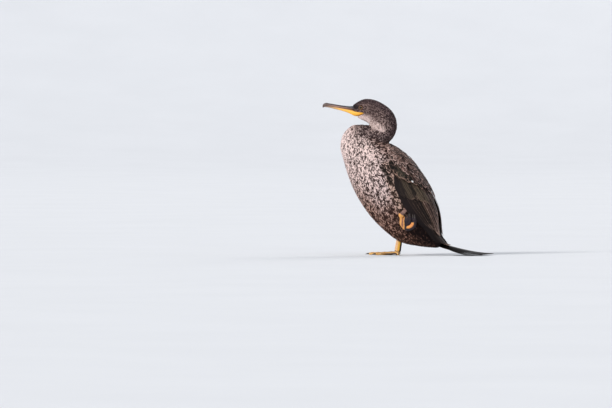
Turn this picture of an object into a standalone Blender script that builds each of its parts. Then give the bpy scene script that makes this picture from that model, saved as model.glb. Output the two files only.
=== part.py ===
"""A young Mediterranean shag, a small cormorant, standing on its right leg.

The bird faces -X, its left side is -Y and up is +Z. The origin lies on the floor under the standing
leg. Every section of the body is given by two points in the bird's middle plane, one on its front or
belly line and one on its back line, and by a half width. The plumage's outer surface is what is built.
"""

import math

import bmesh
import bpy
import numpy as np
from mathutils import Matrix, Vector

MM = 0.001
GAP = 0.35 * MM
WELD = 0.02 * MM
UP = Vector((0, 0, 1))
SIDEWAYS = Vector((0, 1, 0))
LEFT, RIGHT = -1, 1

# Body sections from the tail's root up to the bulge of the folded lower neck, in millimetres:
# belly x, belly z, back x, back z, half width
TORSO = (
    (90, 16, 106, 29, 15),
    (70, 17, 95, 46, 25),
    (37, 21, 90, 84, 38),
    (6, 29, 81, 116, 48),
    (-27, 53, 67, 148, 54),
    (-58, 84, 47, 178, 56),
    (-87, 126, 26, 205, 55),
    (-105, 165, 5, 224, 49.5),
    (-117.5, 204, -13, 237, 41.5),
    (-125, 231, -29, 247, 33.5),
    (-120.5, 256, -43, 263, 27),
    (-109, 271, -56, 274.5, 20.5),
    (-98, 278.5, -67, 280.5, 13),
    (-89, 281, -77, 281.8, 5),
)
TORSO_SIDES, TORSO_RINGS = 28, 27
BODY_POWER = 2.2

# Neck and head sections in the same form, from inside the bulge to the bill's root:
# throat x, throat z, nape x, nape z, half width
NECK = (
    (-68, 262, -50, 226, 19),
    (-62, 267, -20, 240, 20),
    (-61, 272, -4, 260, 19.5),
    (-60.5, 276, 0, 281, 18.5),
    (-60.5, 279, -6, 302, 18),
    (-61.5, 281.5, -19, 317, 18.5),
    (-65, 284, -38, 329, 19),
    (-70, 287, -56, 335, 18.5),
    (-79, 291, -72, 335.5, 17.2),
    (-86, 295, -85, 330.5, 14.5),
    (-91.5, 298.5, -94.5, 324.5, 11.5),
    (-95.5, 302, -101, 320.5, 8.5),
)
NECK_SIDES = 20
NECK_END = 5.0
NECK_RINGS, HEAD_RINGS = 11, 13
HEAD_POWER = 2.1

# Bill sections from the root to the tip: x, top z, bottom z, half width
MOUTH_GAP = 0.4
UPPER_POWER, LOWER_POWER = 2.3, 2.6
UPPER_BILL = (
    (-84, 318, 310.6, 9),
    (-98, 320.2, 311.6, 8.6),
    (-107, 319.9, 313.0, 6.8),
    (-122, 321.6, 315.4, 5.2),
    (-138, 324.0, 318.0, 4.3),
    (-151, 326.2, 319.8, 3.7),
    (-158, 327.0, 319.9, 3.4),
    (-162.6, 325.6, 317.6, 2.6),
    (-165.4, 322.4, 316.2, 1.3),
)
LOWER_BILL = (
    (-64, 306.4, 304.6, 16.9),
    (-72, 307.8, 302.4, 16.6),
    (-81, 309.2, 299.4, 14.9),
    (-92, 311.3, 298.2, 11.6),
    (-99, 312.4, 301.0, 9.2),
    (-107, 313.8, 305.0, 7.0),
    (-122, 316.3, 309.8, 4.9),
    (-138, 319.0, 313.7, 4.0),
    (-151, 320.8, 316.9, 3.2),
    (-160.4, 320.4, 318.1, 1.8),
)
BILL_SIDES = 12

EYE_X, EYE_Z, EYE_RADIUS, EYE_SUNK = -76 * MM, 316.5 * MM, 5.2 * MM, 4.3 * MM
LID_RADIUS, LID_THICKNESS, LID_SUNK, LID_TURN = 4.6 * MM, 0.9 * MM, 0.1 * MM, 9

# Wing, as places on the body: t counts body sections from the tail's root, the angle is in degrees
# down from the back's middle line. Core rows are t, angle of the upper edge, angle of the lower edge.
WING_CORE = (
    (2.4, 14, 75),
    (3.6, 11, 72),
    (4.8, 11, 69),
    (6.0, 13, 65),
    (6.8, 19, 61),
    (7.4, 30, 53),
)
WING_CORE_LIFT = (1.0, 2.2)
WING_CORE_ROWS, WING_CORE_COLUMNS = 7, 4
WING_SUNK = -2.5

# Feather tiers of the wing, the lowest first: count, then root t, root angle, tip t and tip angle
# of the first feather and of the last, then width, height of the tips over the body and steps
WING_TIERS = {
    "primaries": (5, (3.4, 74, 0.7, 81), (3.6, 60, -0.55, 56), 14, 2.2, 4),
    "secondaries": (6, (4.8, 67, 1.9, 84), (4.6, 30, 0.8, 36), 16, 3.4, 4),
    "tertials": (3, (5.2, 32, 0.8, 28), (5.2, 14, 1.5, 9), 17, 5.4, 4),
    "greater_coverts": (6, (5.8, 63, 3.9, 78), (5.8, 22, 3.3, 22), 16, 4.6, 3),
    "median_coverts": (6, (6.5, 60, 5.2, 73), (6.5, 22, 4.7, 20), 14, 5.0, 2),
    "lesser_coverts": (4, (7.2, 53, 6.3, 66), (7.2, 34, 5.9, 16), 16, 5.2, 2),
    "lower_scapulars": (3, (5.4, 28, 3.0, 26), (5.4, 14, 2.5, 8), 16, 6.4, 3),
    "upper_scapulars": (4, (6.7, 34, 4.9, 32), (6.7, 20, 4.2, 8), 15, 6.0, 3),
}

# Outline of every vane from root to tip as shares of its width, and how its section tilts, so that
# each feather's lower edge lies over the next one down
VANE_OUTLINE = ((0.55,), (0.95,), (1.0,), (0.86,), (0.3,))
VANE_THICKNESS, VANE_TILT, VANE_ROOT_SUNK = 0.8, 1.0, 0.8

# Space that a folded wing's lower part takes up, in the core's form, and its height over the body
WING_SPACE = (
    (-0.6, 20, 96),
    (1.0, 8, 97),
    (2.4, 8, 92),
    (4.2, 8, 83),
)
WING_SPACE_LIFT = 5.0

# Tail on the floor: its root, feather length in the middle and at the sides, and its fan in degrees
TAIL_ROOT = Vector((92, 0, 24)) * MM
TAIL_FEATHERS, TAIL_STEPS = 6, 3
TAIL_MIDDLE, TAIL_SIDE, TAIL_WIDTH = 120, 100, 13
TAIL_SLIT, TAIL_FAN = 7, 27
TAIL_STACK, TAIL_TILT, TAIL_DROOP, TAIL_ROOT_SHARE = 0.7, 0.3, 1.7, 0.1

# The plug that the tail feathers grow from: length from the root, half width, half height
TAIL_PLUG = ((0, 13, 9), (14, 13, 6), (26, 13, 3.4), (38, 11, 1.4))
TAIL_PLUG_SIDES, TAIL_PLUG_RAISED = 14, 1.5

# Toes: number, direction in degrees from straight ahead towards the outer side, and length
TOES = (("1", -108, 28), ("2", -24, 47), ("3", 2, 63), ("4", 25, 73))
TOE_STEPS, TOE_SIDES, TOE_WIDTH = 5, 8, 0.9
TOE_RADIUS, TOE_TAPER, TOE_KNUCKLE = 3.7, 0.3, 0.07
TOE_ARCH, TOE_SUNK = 2.5, 0.72
PAD_RADIUS, PAD_SIDES, PAD_RINGS = 6.2, 10, 6
CLAW_LENGTH, CLAW_DROOP, CLAW_SIDES, CLAW_WIDTH = 9, 1.2, 6, 0.8
CLAW_RADII = (2.0, 1.5, 0.35)
WEB_THICKNESS, WEB_OVERLAP, WEB_START, WEB_END, WEB_SCALLOP = 1.0, 0.04, 0.05, 0.95, 0.13
WEB_ROWS, WEB_COLUMNS = 5, 3

# Standing foot and leg, then the foot that is drawn up to the flank: where it hangs, how its toes
# run straight and then curl backwards, how far they stand out, and its folded webs
STANDING_FOOT = Vector((1.5, 0, 5)) * MM
TARSUS_TOP = Vector((8, 11, 62)) * MM
TARSUS_FOOT = 4 * MM
TARSUS_DEPTH, TARSUS_WIDTH, TARSUS_STEPS, TARSUS_SIDES = 7.2, 4.4, 5, 12
TARSUS_SLIM, TARSUS_SWELL, TARSUS_WAIST = 0.92, 0.2, 0.4
TUCKED_FOOT = Vector((24, -57, 87)) * MM
TUCKED_HOCK = Vector((39, -50, 106)) * MM
TUCKED_SLIM = 0.66
TOE_STRAIGHT, TOE_CURL, TOE_CURL_RADIUS = 0.2, 3.6, 7
TUCK_LEAN, TUCK_OUT, TUCK_SPREAD, TUCK_INNER, TUCK_SWING = 0.3, 9, 7, -0.5, 0.75
WEB_FOLD, WEB_FOLD_SHIFT = Vector((14, 6, 13)) * MM, Vector((0, 2, 4)) * MM
WEB_FOLD_SIDES, WEB_FOLD_RINGS = 12, 8


def material(name, colour, roughness):
    made = bpy.data.materials.new(name)
    made.use_nodes = True
    shader = made.node_tree.nodes["Principled BSDF"]
    shader.inputs["Base Color"].default_value = (*colour, 1)
    shader.inputs["Roughness"].default_value = roughness
    shader.inputs["Metallic"].default_value = 0
    return made


def reading(rows, t):
    """The row at place t of a smooth curve through the rows, carried on straight past its ends."""
    last = len(rows) - 1
    rows = np.array(rows, float)
    if t < 0:
        return rows[0] + t * (rows[1] - rows[0])
    if t > last:
        return rows[last] + (t - last) * (rows[last] - rows[last - 1])
    i = min(int(t), last - 1)
    s = t - i
    p1, p2 = rows[i], rows[i + 1]
    p0 = rows[i - 1] if i else 2 * p1 - p2
    p3 = rows[i + 2] if i + 2 <= last else 2 * p2 - p1
    return 0.5 * (
        2 * p1 + (p2 - p0) * s + (2 * p0 - 5 * p1 + 4 * p2 - p3) * s**2
        + (3 * p1 - p0 - 3 * p2 + p3) * s**3
    )


def oval(centre, along_up, along_side, power, angle):
    """A point of a rounded oval; angle 0 is the top, and the side counts as given."""
    c, s = math.cos(angle), math.sin(angle)
    up = math.copysign(abs(c) ** (2 / power), c)
    side = math.copysign(abs(s) ** (2 / power), s)
    return centre + along_up * up + along_side * side


def section_point(row, angle, power):
    """A point of a body section; angle 0 is its back or nape, and positive angles go to +Y."""
    low = Vector((row[0], 0, row[1])) * MM
    high = Vector((row[2], 0, row[3])) * MM
    return oval((low + high) / 2, (high - low) / 2, SIDEWAYS * row[4] * MM, power, angle)


def add_object(name, bm, look):
    bmesh.ops.recalc_face_normals(bm, faces=bm.faces)
    mesh = bpy.data.meshes.new(name)
    bm.to_mesh(mesh)
    bm.free()
    mesh.materials.append(look)
    mesh.shade_smooth()
    made = bpy.data.objects.new(name, mesh)
    bpy.data.collections["shag"].objects.link(made)
    return made


def tube(name, rings, look):
    """A closed body through rings of points, each end a flat cap."""
    bm = bmesh.new()
    loops = [[bm.verts.new(p) for p in ring] for ring in rings]
    for a, b in zip(loops, loops[1:]):
        for k in range(len(a)):
            n = (k + 1) % len(a)
            bm.faces.new((a[k], a[n], b[n], b[k]))
    bm.faces.new(loops[0])
    bm.faces.new(loops[-1])
    return add_object(name, bm, look)


def body_tube(name, rows, start, end, rings, sides, power, look):
    places = np.linspace(start, end, rings)
    angles = [2 * math.pi * k / sides for k in range(sides)]
    return tube(
        name, [[section_point(reading(rows, t), a, power) for a in angles] for t in places], look
    )


def path_tube(name, points, radii, sides, look, flat=1.0, floor=None):
    """A round tube along points; flat squeezes it across, and nothing goes below the floor."""
    rings = []
    ahead = points[1] - points[0]
    across = SIDEWAYS if abs(ahead.normalized().y) < 0.9 else Vector((1, 0, 0))
    for i, p in enumerate(points):
        ahead = (points[min(i + 1, len(points) - 1)] - points[max(i - 1, 0)]).normalized()
        across = (across - ahead * across.dot(ahead)).normalized()
        other = across.cross(ahead)
        ring = []
        for k in range(sides):
            a = 2 * math.pi * (k + 0.5) / sides
            q = p + across * math.cos(a) * radii[i] * flat + other * math.sin(a) * radii[i]
            if floor is not None:
                q.z = max(q.z, floor)
            ring.append(q)
        rings.append(ring)
    return tube(name, rings, look)


def settle(obj):
    """Applies the object's modifiers."""
    graph = bpy.context.evaluated_depsgraph_get()
    mesh = bpy.data.meshes.new_from_object(obj.evaluated_get(graph))
    obj.modifiers.clear()
    obj.data = mesh


def keep_largest(obj):
    """Drops every loose scrap and sealed hollow, which leaves the node's one outer surface."""
    bm = bmesh.new()
    bm.from_mesh(obj.data)
    bmesh.ops.remove_doubles(bm, verts=bm.verts, dist=WELD)
    bmesh.ops.triangulate(bm, faces=bm.faces)
    bmesh.ops.dissolve_degenerate(bm, edges=bm.edges, dist=WELD)
    bmesh.ops.triangulate(bm, faces=bm.faces)
    unseen, islands = set(bm.faces), []
    while unseen:
        island, waiting = set(), [unseen.pop()]
        while waiting:
            face = waiting.pop()
            island.add(face)
            for edge in face.edges:
                if len(edge.link_faces) != 2:
                    continue
                for other in edge.link_faces:
                    if other in unseen:
                        unseen.discard(other)
                        waiting.append(other)
        islands.append(island)
    largest = max(islands, key=lambda faces: sum(f.calc_area() for f in faces))
    bmesh.ops.delete(bm, geom=[f for f in bm.faces if f not in largest], context="FACES")
    bm.to_mesh(obj.data)
    bm.free()


def fuse(obj, pieces, solver="EXACT"):
    """Joins closed pieces to the object with one Boolean union."""
    together = bpy.data.collections.new(obj.name + "_pieces")
    bpy.context.scene.collection.children.link(together)
    for piece in pieces:
        together.objects.link(piece)
        bpy.data.collections["shag"].objects.unlink(piece)
    join = obj.modifiers.new("join", "BOOLEAN")
    join.operation, join.operand_type, join.collection = "UNION", "COLLECTION", together
    join.solver = solver
    settle(obj)
    for piece in pieces:
        bpy.data.objects.remove(piece)
    bpy.data.collections.remove(together)
    keep_largest(obj)


def cut_clear(obj, neighbour, gap=GAP):
    """Takes the neighbour's shape, grown by the gap, out of the object."""
    cutter = neighbour.copy()
    cutter.data = neighbour.data.copy()
    bpy.data.collections["cutters"].objects.link(cutter)
    normals = [v.normal.copy() for v in cutter.data.vertices]
    for v, n in zip(cutter.data.vertices, normals):
        v.co += n * gap
    cut = obj.modifiers.new("clear", "BOOLEAN")
    cut.operation, cut.object = "DIFFERENCE", cutter
    settle(obj)
    bpy.data.objects.remove(cutter)
    keep_largest(obj)


def build_bill(looks):
    """Upper and lower bill; the lower one carries the bare skin of the gape."""
    made = []
    for name, rows, power in (
        ("bill_upper", UPPER_BILL, UPPER_POWER),
        ("bill_lower", LOWER_BILL, LOWER_POWER),
    ):
        rings = []
        for t in np.linspace(0, len(rows) - 1, 2 * len(rows) - 3):
            x, top, bottom, half = reading(rows, t) * MM
            centre = Vector((x, 0, (top + bottom) / 2))
            rings.append(
                [
                    oval(centre, UP * (top - bottom) / 2, SIDEWAYS * half, power,
                         2 * math.pi * k / BILL_SIDES)
                    for k in range(BILL_SIDES)
                ]
            )
        made.append(tube(name, rings, looks[name]))
    cut_clear(made[1], made[0], MOUTH_GAP * MM)
    return made


def head_side(head, x, z, side):
    """Where the head's side lies at that length and height."""
    hit, place, _, _ = head.ray_cast(Vector((x, side * 0.1, z)), Vector((0, -side, 0)))
    return place.y if hit else 0.0


def build_eyes(head, looks):
    """Each eye's ball, sunk in the head, and the ring of its lids."""
    eyes, lids = [], []
    for side, name in ((LEFT, "left"), (RIGHT, "right")):
        surface = head_side(head, EYE_X, EYE_Z, side)
        bm = bmesh.new()
        bmesh.ops.create_uvsphere(bm, u_segments=12, v_segments=8, radius=EYE_RADIUS)
        eye = add_object("eye_" + name, bm, looks["eye"])
        eye.location = (EYE_X, surface - side * EYE_SUNK, EYE_Z)
        place_for_good(eye)
        eyes.append(eye)
        bpy.ops.mesh.primitive_torus_add(
            major_segments=14, minor_segments=5, major_radius=LID_RADIUS, minor_radius=LID_THICKNESS,
            location=(EYE_X, surface - side * LID_SUNK, EYE_Z),
            rotation=(math.radians(90), 0, math.radians(-side * LID_TURN)),
        )
        lid = bpy.context.object
        lid.name = "lid_" + name
        lid.data.materials.append(looks["plumage"])
        for owner in list(lid.users_collection):
            owner.objects.unlink(lid)
        bpy.data.collections["shag"].objects.link(lid)
        lids.append(lid)
    bpy.context.view_layer.update()
    return eyes, lids


def body_place(t, angle, lift, side):
    """A point over the body's side: its section, degrees down from the back, and millimetres out."""
    angle = math.radians(angle) * side
    step = 0.01  # how far along and round the body its slope is read
    here = section_point(reading(TORSO, t), angle, BODY_POWER)
    along = section_point(reading(TORSO, t + step), angle, BODY_POWER) - here
    around = section_point(reading(TORSO, t), angle + step, BODY_POWER) - here
    out = along.cross(around).normalized()
    middle = section_point(reading(TORSO, t), 0, BODY_POWER)
    middle = (middle + section_point(reading(TORSO, t), math.pi, BODY_POWER)) / 2
    if out.dot(here - middle) < 0:
        out.negate()
    return here + out * lift * MM


def core_lift(t):
    """Height of the wing's core over the body at t."""
    first, last = WING_CORE[0][0], WING_CORE[-1][0]
    low, high = WING_CORE_LIFT
    return low + (high - low) * min(1.0, max(0.0, (t - first) / (last - first)))


def vane(name, centres, outs, sides, widths, tilt, look, floor=None):
    """One feather: a thin tapered plate along its middle line, its far edge raised by the tilt."""
    bm = bmesh.new()
    layers = []
    for face in (0.5, -0.5):
        grid = []
        for centre, out, side, width in zip(centres, outs, sides, widths):
            line = []
            for edge in (-1, 1):
                spot = centre + side * edge * width / 2
                spot += out * (edge * tilt + face * VANE_THICKNESS) * MM
                if floor is not None:
                    spot.z = max(spot.z, floor)
                line.append(bm.verts.new(spot))
            grid.append(line)
        layers.append(grid)
    close_slab(bm, *layers)
    return add_object(name, bm, look)


def vane_widths(width, steps):
    return [
        reading(VANE_OUTLINE, i / steps * (len(VANE_OUTLINE) - 1))[0] * width * MM
        for i in range(steps + 1)
    ]


def wing_vane(name, place, width, lift, steps, side, look):
    """A wing feather from its root in the core to its tip, over the body's side."""
    root_t, root_angle, tip_t, tip_angle = place
    nudge = 0.02  # the share of its length over which the feather's direction is read
    centres, outs, sides = [], [], []
    for i in range(steps + 1):
        s = i / steps
        t, angle = root_t + (tip_t - root_t) * s, root_angle + (tip_angle - root_angle) * s
        sunk = core_lift(root_t) - VANE_ROOT_SUNK
        height = sunk + (lift - sunk) * min(1.0, 2 * s)
        centre = body_place(t, angle, height, side)
        ahead = body_place(
            t + (tip_t - root_t) * nudge, angle + (tip_angle - root_angle) * nudge, height, side
        ) - centre
        out = (body_place(t, angle, height + 1, side) - centre).normalized()
        down = body_place(t, angle + 2, height, side) - centre
        down -= ahead * (down.dot(ahead) / ahead.length_squared)
        centres.append(centre)
        outs.append(out)
        sides.append(down.normalized())
    return vane(name, centres, outs, sides, vane_widths(width, steps), VANE_TILT, look)


def body_slab(plan, rows, columns, low, high, side):
    """A closed slab that follows the body's side, from one height over it to another."""
    bm = bmesh.new()
    layers = []
    for lift in (high, low):
        grid = []
        for i in range(rows + 1):
            t, upper, lower = reading(plan, i * (len(plan) - 1) / rows)
            grid.append(
                [
                    bm.verts.new(
                        body_place(t, upper + (lower - upper) * j / columns, lift(t), side)
                    )
                    for j in range(columns + 1)
                ]
            )
        layers.append(grid)
    close_slab(bm, *layers)
    return bm


def build_wing(side, name, neighbours, looks):
    """A folded wing: a thin core over the body's side, under tiers of feathers."""
    bm = body_slab(WING_CORE, WING_CORE_ROWS, WING_CORE_COLUMNS, lambda t: WING_SUNK, core_lift, side)
    wing = add_object(name, bm, looks["wing"])
    feathers = []
    for tier, (count, first, last, width, lift, steps) in WING_TIERS.items():
        for k in range(count):
            share = k / (count - 1)
            place = [a + (b - a) * share for a, b in zip(first, last)]
            feathers.append(
                wing_vane(f"{name}_{tier}_{k}", place, width, lift, steps, side, looks["wing"])
            )
    fuse(wing, feathers)
    for neighbour in neighbours:
        cut_clear(wing, neighbour)


def close_slab(bm, top, bottom):
    """Faces of a closed slab between two like grids of vertices, split alike on both faces."""
    rows, columns = len(top), len(top[0])
    for i in range(rows - 1):
        for j in range(columns - 1):
            for grid in (top, bottom):
                a, b, c, d = grid[i][j], grid[i + 1][j], grid[i + 1][j + 1], grid[i][j + 1]
                bm.faces.new((a, b, c))
                bm.faces.new((a, c, d))
    rim = [(i, 0) for i in range(rows)] + [(rows - 1, j) for j in range(1, columns)]
    rim += [(i, columns - 1) for i in range(rows - 2, -1, -1)]
    rim += [(0, j) for j in range(columns - 2, 0, -1)]
    for (i, j), (m, n) in zip(rim, rim[1:] + rim[:1]):
        bm.faces.new((top[i][j], top[m][n], bottom[m][n], bottom[i][j]))


def tail_place(along, turn, lift, length):
    """A point of the tail, by length from its root, degrees off its middle line and height."""
    fan = math.radians(turn)
    droop = max(0.0, 1 - along / length) ** TAIL_DROOP
    return Vector(
        (
            TAIL_ROOT.x + along * MM * math.cos(fan),
            along * MM * math.sin(fan),
            TAIL_ROOT.z * droop + lift * MM,
        )
    )


def tail_vane(name, turn, length, lift, side, look):
    """A tail feather, from the plug to its tip near the floor."""
    centres, outs, sides = [], [], []
    for i in range(TAIL_STEPS + 1):
        along = length * (TAIL_ROOT_SHARE + (1 - TAIL_ROOT_SHARE) * i / TAIL_STEPS)
        centre = tail_place(along, turn, lift, length)
        ahead = tail_place(along + 1, turn, lift, length) - centre
        out = ahead.cross(SIDEWAYS).normalized()
        centres.append(centre)
        outs.append(out)
        sides.append(out.cross(ahead).normalized() * side)
    widths = vane_widths(TAIL_WIDTH, TAIL_STEPS)
    return vane(name, centres, outs, sides, widths, TAIL_TILT, look, 0.0)


def build_tail(torso, looks):
    """Two fans of feathers that grow from a plug at the body's end, the middle ones on top."""
    rings = []
    for along, half, height in TAIL_PLUG:
        centre = tail_place(along, 0, TAIL_PLUG_RAISED, TAIL_MIDDLE)
        rings.append(
            [
                oval(centre, UP * height * MM, SIDEWAYS * half * MM, BODY_POWER,
                     2 * math.pi * k / TAIL_PLUG_SIDES)
                for k in range(TAIL_PLUG_SIDES)
            ]
        )
    tail = tube("tail", rings, looks["tail"])
    feathers = []
    for side in (LEFT, RIGHT):
        for k in range(TAIL_FEATHERS):
            share = k / (TAIL_FEATHERS - 1)
            feathers.append(
                tail_vane(
                    f"tail_feather_{side}_{k}",
                    side * (TAIL_SLIT + (TAIL_FAN - TAIL_SLIT) * share),
                    TAIL_MIDDLE + (TAIL_SIDE - TAIL_MIDDLE) * share**2,
                    TAIL_STACK * (TAIL_FEATHERS - 1 - k) + VANE_THICKNESS / 2,
                    side, looks["tail"],
                )
            )
    fuse(tail, feathers)
    cut_clear(tail, torso)
    return tail


def standing_toe(turn, length):
    """Points along a toe that lies on the floor."""
    ahead = Vector((-math.cos(math.radians(turn)), math.sin(math.radians(turn)), 0))
    start = Vector((STANDING_FOOT.x, STANDING_FOOT.y, 0))
    points = []
    for i in range(TOE_STEPS + 1):
        s = i / TOE_STEPS
        height = TOE_RADIUS * TOE_SUNK + TOE_ARCH * (1 - s) ** 2
        points.append(start + ahead * length * s * MM + UP * height * MM)
    return points


def tucked_toe(turn, length):
    """Points along a toe that hangs from the drawn up foot and curls backwards."""
    spread = max(turn / 90, TUCK_INNER)
    radius = max(length * (1 - TOE_STRAIGHT) / TOE_CURL, TOE_CURL_RADIUS)
    points = []
    for i in range(TOE_STEPS + 1):
        s = i / TOE_STEPS * length
        straight = min(s, TOE_STRAIGHT * length)
        bend = (s - straight) / radius
        out = (TUCK_OUT + TUCK_SPREAD * spread) * math.sin(TUCK_SWING * math.pi * s / length)
        drop = straight + radius * math.sin(bend)
        back = radius * (1 - math.cos(bend))
        points.append(TUCKED_FOOT + Vector((back, TUCK_LEAN * drop - out, -drop)) * MM)
    return points


def web_between(name, one, other, look, floor):
    """A membrane from toe to toe; its outer edge hangs back between them."""
    one, other = [tuple(p) for p in one], [tuple(p) for p in other]
    spots = []
    for i in range(WEB_ROWS + 1):
        line = []
        for j in range(WEB_COLUMNS + 1):
            across = -WEB_OVERLAP + (1 + 2 * WEB_OVERLAP) * j / WEB_COLUMNS
            scallop = WEB_SCALLOP * math.sin(j / WEB_COLUMNS * math.pi) * i / WEB_ROWS
            reach = (WEB_START + (WEB_END - WEB_START) * i / WEB_ROWS) * (1 - scallop)
            a = Vector(reading(one, reach * TOE_STEPS))
            b = Vector(reading(other, reach * TOE_STEPS))
            spot = a.lerp(b, across)
            if floor is not None:
                spot.z = floor + WEB_THICKNESS * MM
            line.append(spot)
        spots.append(line)
    bm = bmesh.new()
    layers = []
    for face in (0.5, -0.5):
        grid = []
        for i in range(WEB_ROWS + 1):
            line = []
            for j in range(WEB_COLUMNS + 1):
                along = spots[min(i + 1, WEB_ROWS)][j] - spots[max(i - 1, 0)][j]
                across = spots[i][min(j + 1, WEB_COLUMNS)] - spots[i][max(j - 1, 0)]
                normal = along.cross(across).normalized()
                line.append(bm.verts.new(spots[i][j] + normal * face * WEB_THICKNESS * MM))
            grid.append(line)
        layers.append(grid)
    close_slab(bm, *layers)
    return add_object(name, bm, look)


def build_claw(name, line, floor, look):
    """A claw that carries a toe's line on, a gap beyond its end."""
    ahead = (line[-1] - line[-2]).normalized()
    start = line[-1] + ahead * GAP
    curve = [start + ahead * CLAW_LENGTH * share * MM for share in (0, 0.5, 1)]
    if floor is not None:
        curve[-1] -= UP * CLAW_DROOP * MM
    return path_tube(name, curve, [r * MM for r in CLAW_RADII], CLAW_SIDES, look, CLAW_WIDTH, floor)


def build_pad(name, place, floor, look):
    """The ball of the foot, where the toes meet."""
    bm = bmesh.new()
    bmesh.ops.create_uvsphere(
        bm, u_segments=PAD_SIDES, v_segments=PAD_RINGS, radius=PAD_RADIUS * MM
    )
    for v in bm.verts:
        v.co += place
        if floor is not None:
            v.co.z = max(v.co.z, floor)
    return add_object(name, bm, look)


def build_web_fold(name, toe, look):
    """The drawn up foot's webs, folded into the curl of its outer toe."""
    bm = bmesh.new()
    bmesh.ops.create_uvsphere(bm, u_segments=WEB_FOLD_SIDES, v_segments=WEB_FOLD_RINGS, radius=1)
    centre = sum(toe, Vector()) / len(toe) + WEB_FOLD_SHIFT
    for v in bm.verts:
        v.co = centre + Vector([a * b for a, b in zip(v.co, WEB_FOLD)])
    return add_object(name, bm, look)


def build_foot(name, toe_line, floor, looks):
    """Four toes, the webs between them, and a claw on each toe as its own piece."""
    lines = [toe_line(turn, length) for _, turn, length in TOES]
    radii = [
        TOE_RADIUS * (1 - TOE_TAPER * i / TOE_STEPS + TOE_KNUCKLE * math.cos(i * math.pi)) * MM
        for i in range(TOE_STEPS + 1)
    ]
    look = looks["foot"]
    pieces, claws = [build_pad(name + "_pad", lines[0][0], floor, look)], []
    for (number, _, _), line in zip(TOES, lines):
        pieces.append(
            path_tube(f"{name}_toe_{number}", line, radii, TOE_SIDES, look, TOE_WIDTH, floor)
        )
        claws.append(build_claw(f"{name}_claw_{number}", line, floor, looks["claw"]))
    for k, (one, other) in enumerate(zip(lines, lines[1:])):
        pieces.append(web_between(f"{name}_web_{k}", one, other, look, floor))
    if floor is None:
        pieces.append(build_web_fold(name + "_fold", lines[-1], look))
    foot = pieces.pop(0)
    foot.name = name
    fuse(foot, pieces, "MANIFOLD")
    for claw in claws:
        cut_clear(claw, foot)
    return foot, claws


def build_leg(name, start, end, neighbours, look, slim=1.0):
    """The tarsus, from the foot up into the plumage."""
    shares = [i / TARSUS_STEPS for i in range(TARSUS_STEPS + 1)]
    points = [start.lerp(end, share) for share in shares]
    radii = [
        TARSUS_DEPTH * slim * (TARSUS_SLIM + TARSUS_SWELL * abs(share - TARSUS_WAIST)) * MM
        for share in shares
    ]
    leg = path_tube(name, points, radii, TARSUS_SIDES, look, TARSUS_WIDTH / TARSUS_DEPTH)
    for neighbour in neighbours:
        cut_clear(leg, neighbour)


def place_for_good(obj):
    """Moves the object's place into its mesh."""
    obj.data.transform(Matrix.Translation(obj.location))
    obj.location = (0, 0, 0)


def build():
    for obj in list(bpy.data.objects):
        bpy.data.objects.remove(obj)
    for name in ("shag", "cutters"):
        bpy.context.scene.collection.children.link(bpy.data.collections.new(name))
    looks = {
        "plumage": material("plumage", (0.33, 0.24, 0.22), 0.8),
        "wing": material("wing", (0.05, 0.04, 0.035), 0.6),
        "tail": material("tail", (0.02, 0.015, 0.014), 0.6),
        "bill_upper": material("bill_upper", (0.09, 0.06, 0.06), 0.4),
        "bill_lower": material("bill_lower", (0.75, 0.38, 0.05), 0.45),
        "eye": material("eye", (0.02, 0.03, 0.02), 0.1),
        "foot": material("foot", (0.6, 0.4, 0.2), 0.5),
        "claw": material("claw", (0.02, 0.02, 0.02), 0.4),
    }
    plumage = looks["plumage"]
    torso = body_tube(
        "torso", TORSO, 0, len(TORSO) - 1, TORSO_RINGS, TORSO_SIDES, BODY_POWER, plumage
    )
    neck = body_tube("neck", NECK, 0, NECK_END, NECK_RINGS, NECK_SIDES, HEAD_POWER, plumage)
    cut_clear(neck, torso)
    head = body_tube(
        "head", NECK, NECK_END, len(NECK) - 1, HEAD_RINGS, NECK_SIDES, HEAD_POWER, plumage
    )
    bpy.context.view_layer.update()
    eyes, lids = build_eyes(head, looks)
    fuse(head, lids)
    for neighbour in (*eyes, *build_bill(looks), torso, neck):
        cut_clear(head, neighbour)
    tail = build_tail(torso, looks)
    for side, name in ((LEFT, "wing_left"), (RIGHT, "wing_right")):
        build_wing(side, name, (torso, tail), looks)
    foot, _ = build_foot("foot_right", standing_toe, 0.0, looks)
    build_leg(
        "leg_right", STANDING_FOOT + UP * TARSUS_FOOT, TARSUS_TOP, (torso, foot), looks["foot"]
    )
    wing_space = add_object(
        "wing_space",
        body_slab(
            WING_SPACE, WING_CORE_ROWS, WING_CORE_COLUMNS,
            lambda t: WING_SUNK, lambda t: WING_SPACE_LIFT, LEFT,
        ),
        looks["wing"],
    )
    tucked, claws = build_foot("foot_left", tucked_toe, None, looks)
    for piece in (tucked, *claws):
        for neighbour in (torso, wing_space):
            cut_clear(piece, neighbour)
    ankle = build_pad("ankle", TUCKED_FOOT, None, looks["foot"])
    build_leg(
        "leg_left", TUCKED_FOOT, TUCKED_HOCK, (torso, wing_space, ankle), looks["foot"], TUCKED_SLIM
    )
    for guide in (wing_space, ankle):
        bpy.data.objects.remove(guide)


build()
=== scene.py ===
import math

import bmesh
import bpy
import numpy as np
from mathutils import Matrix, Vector
from mathutils.kdtree import KDTree


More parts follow.
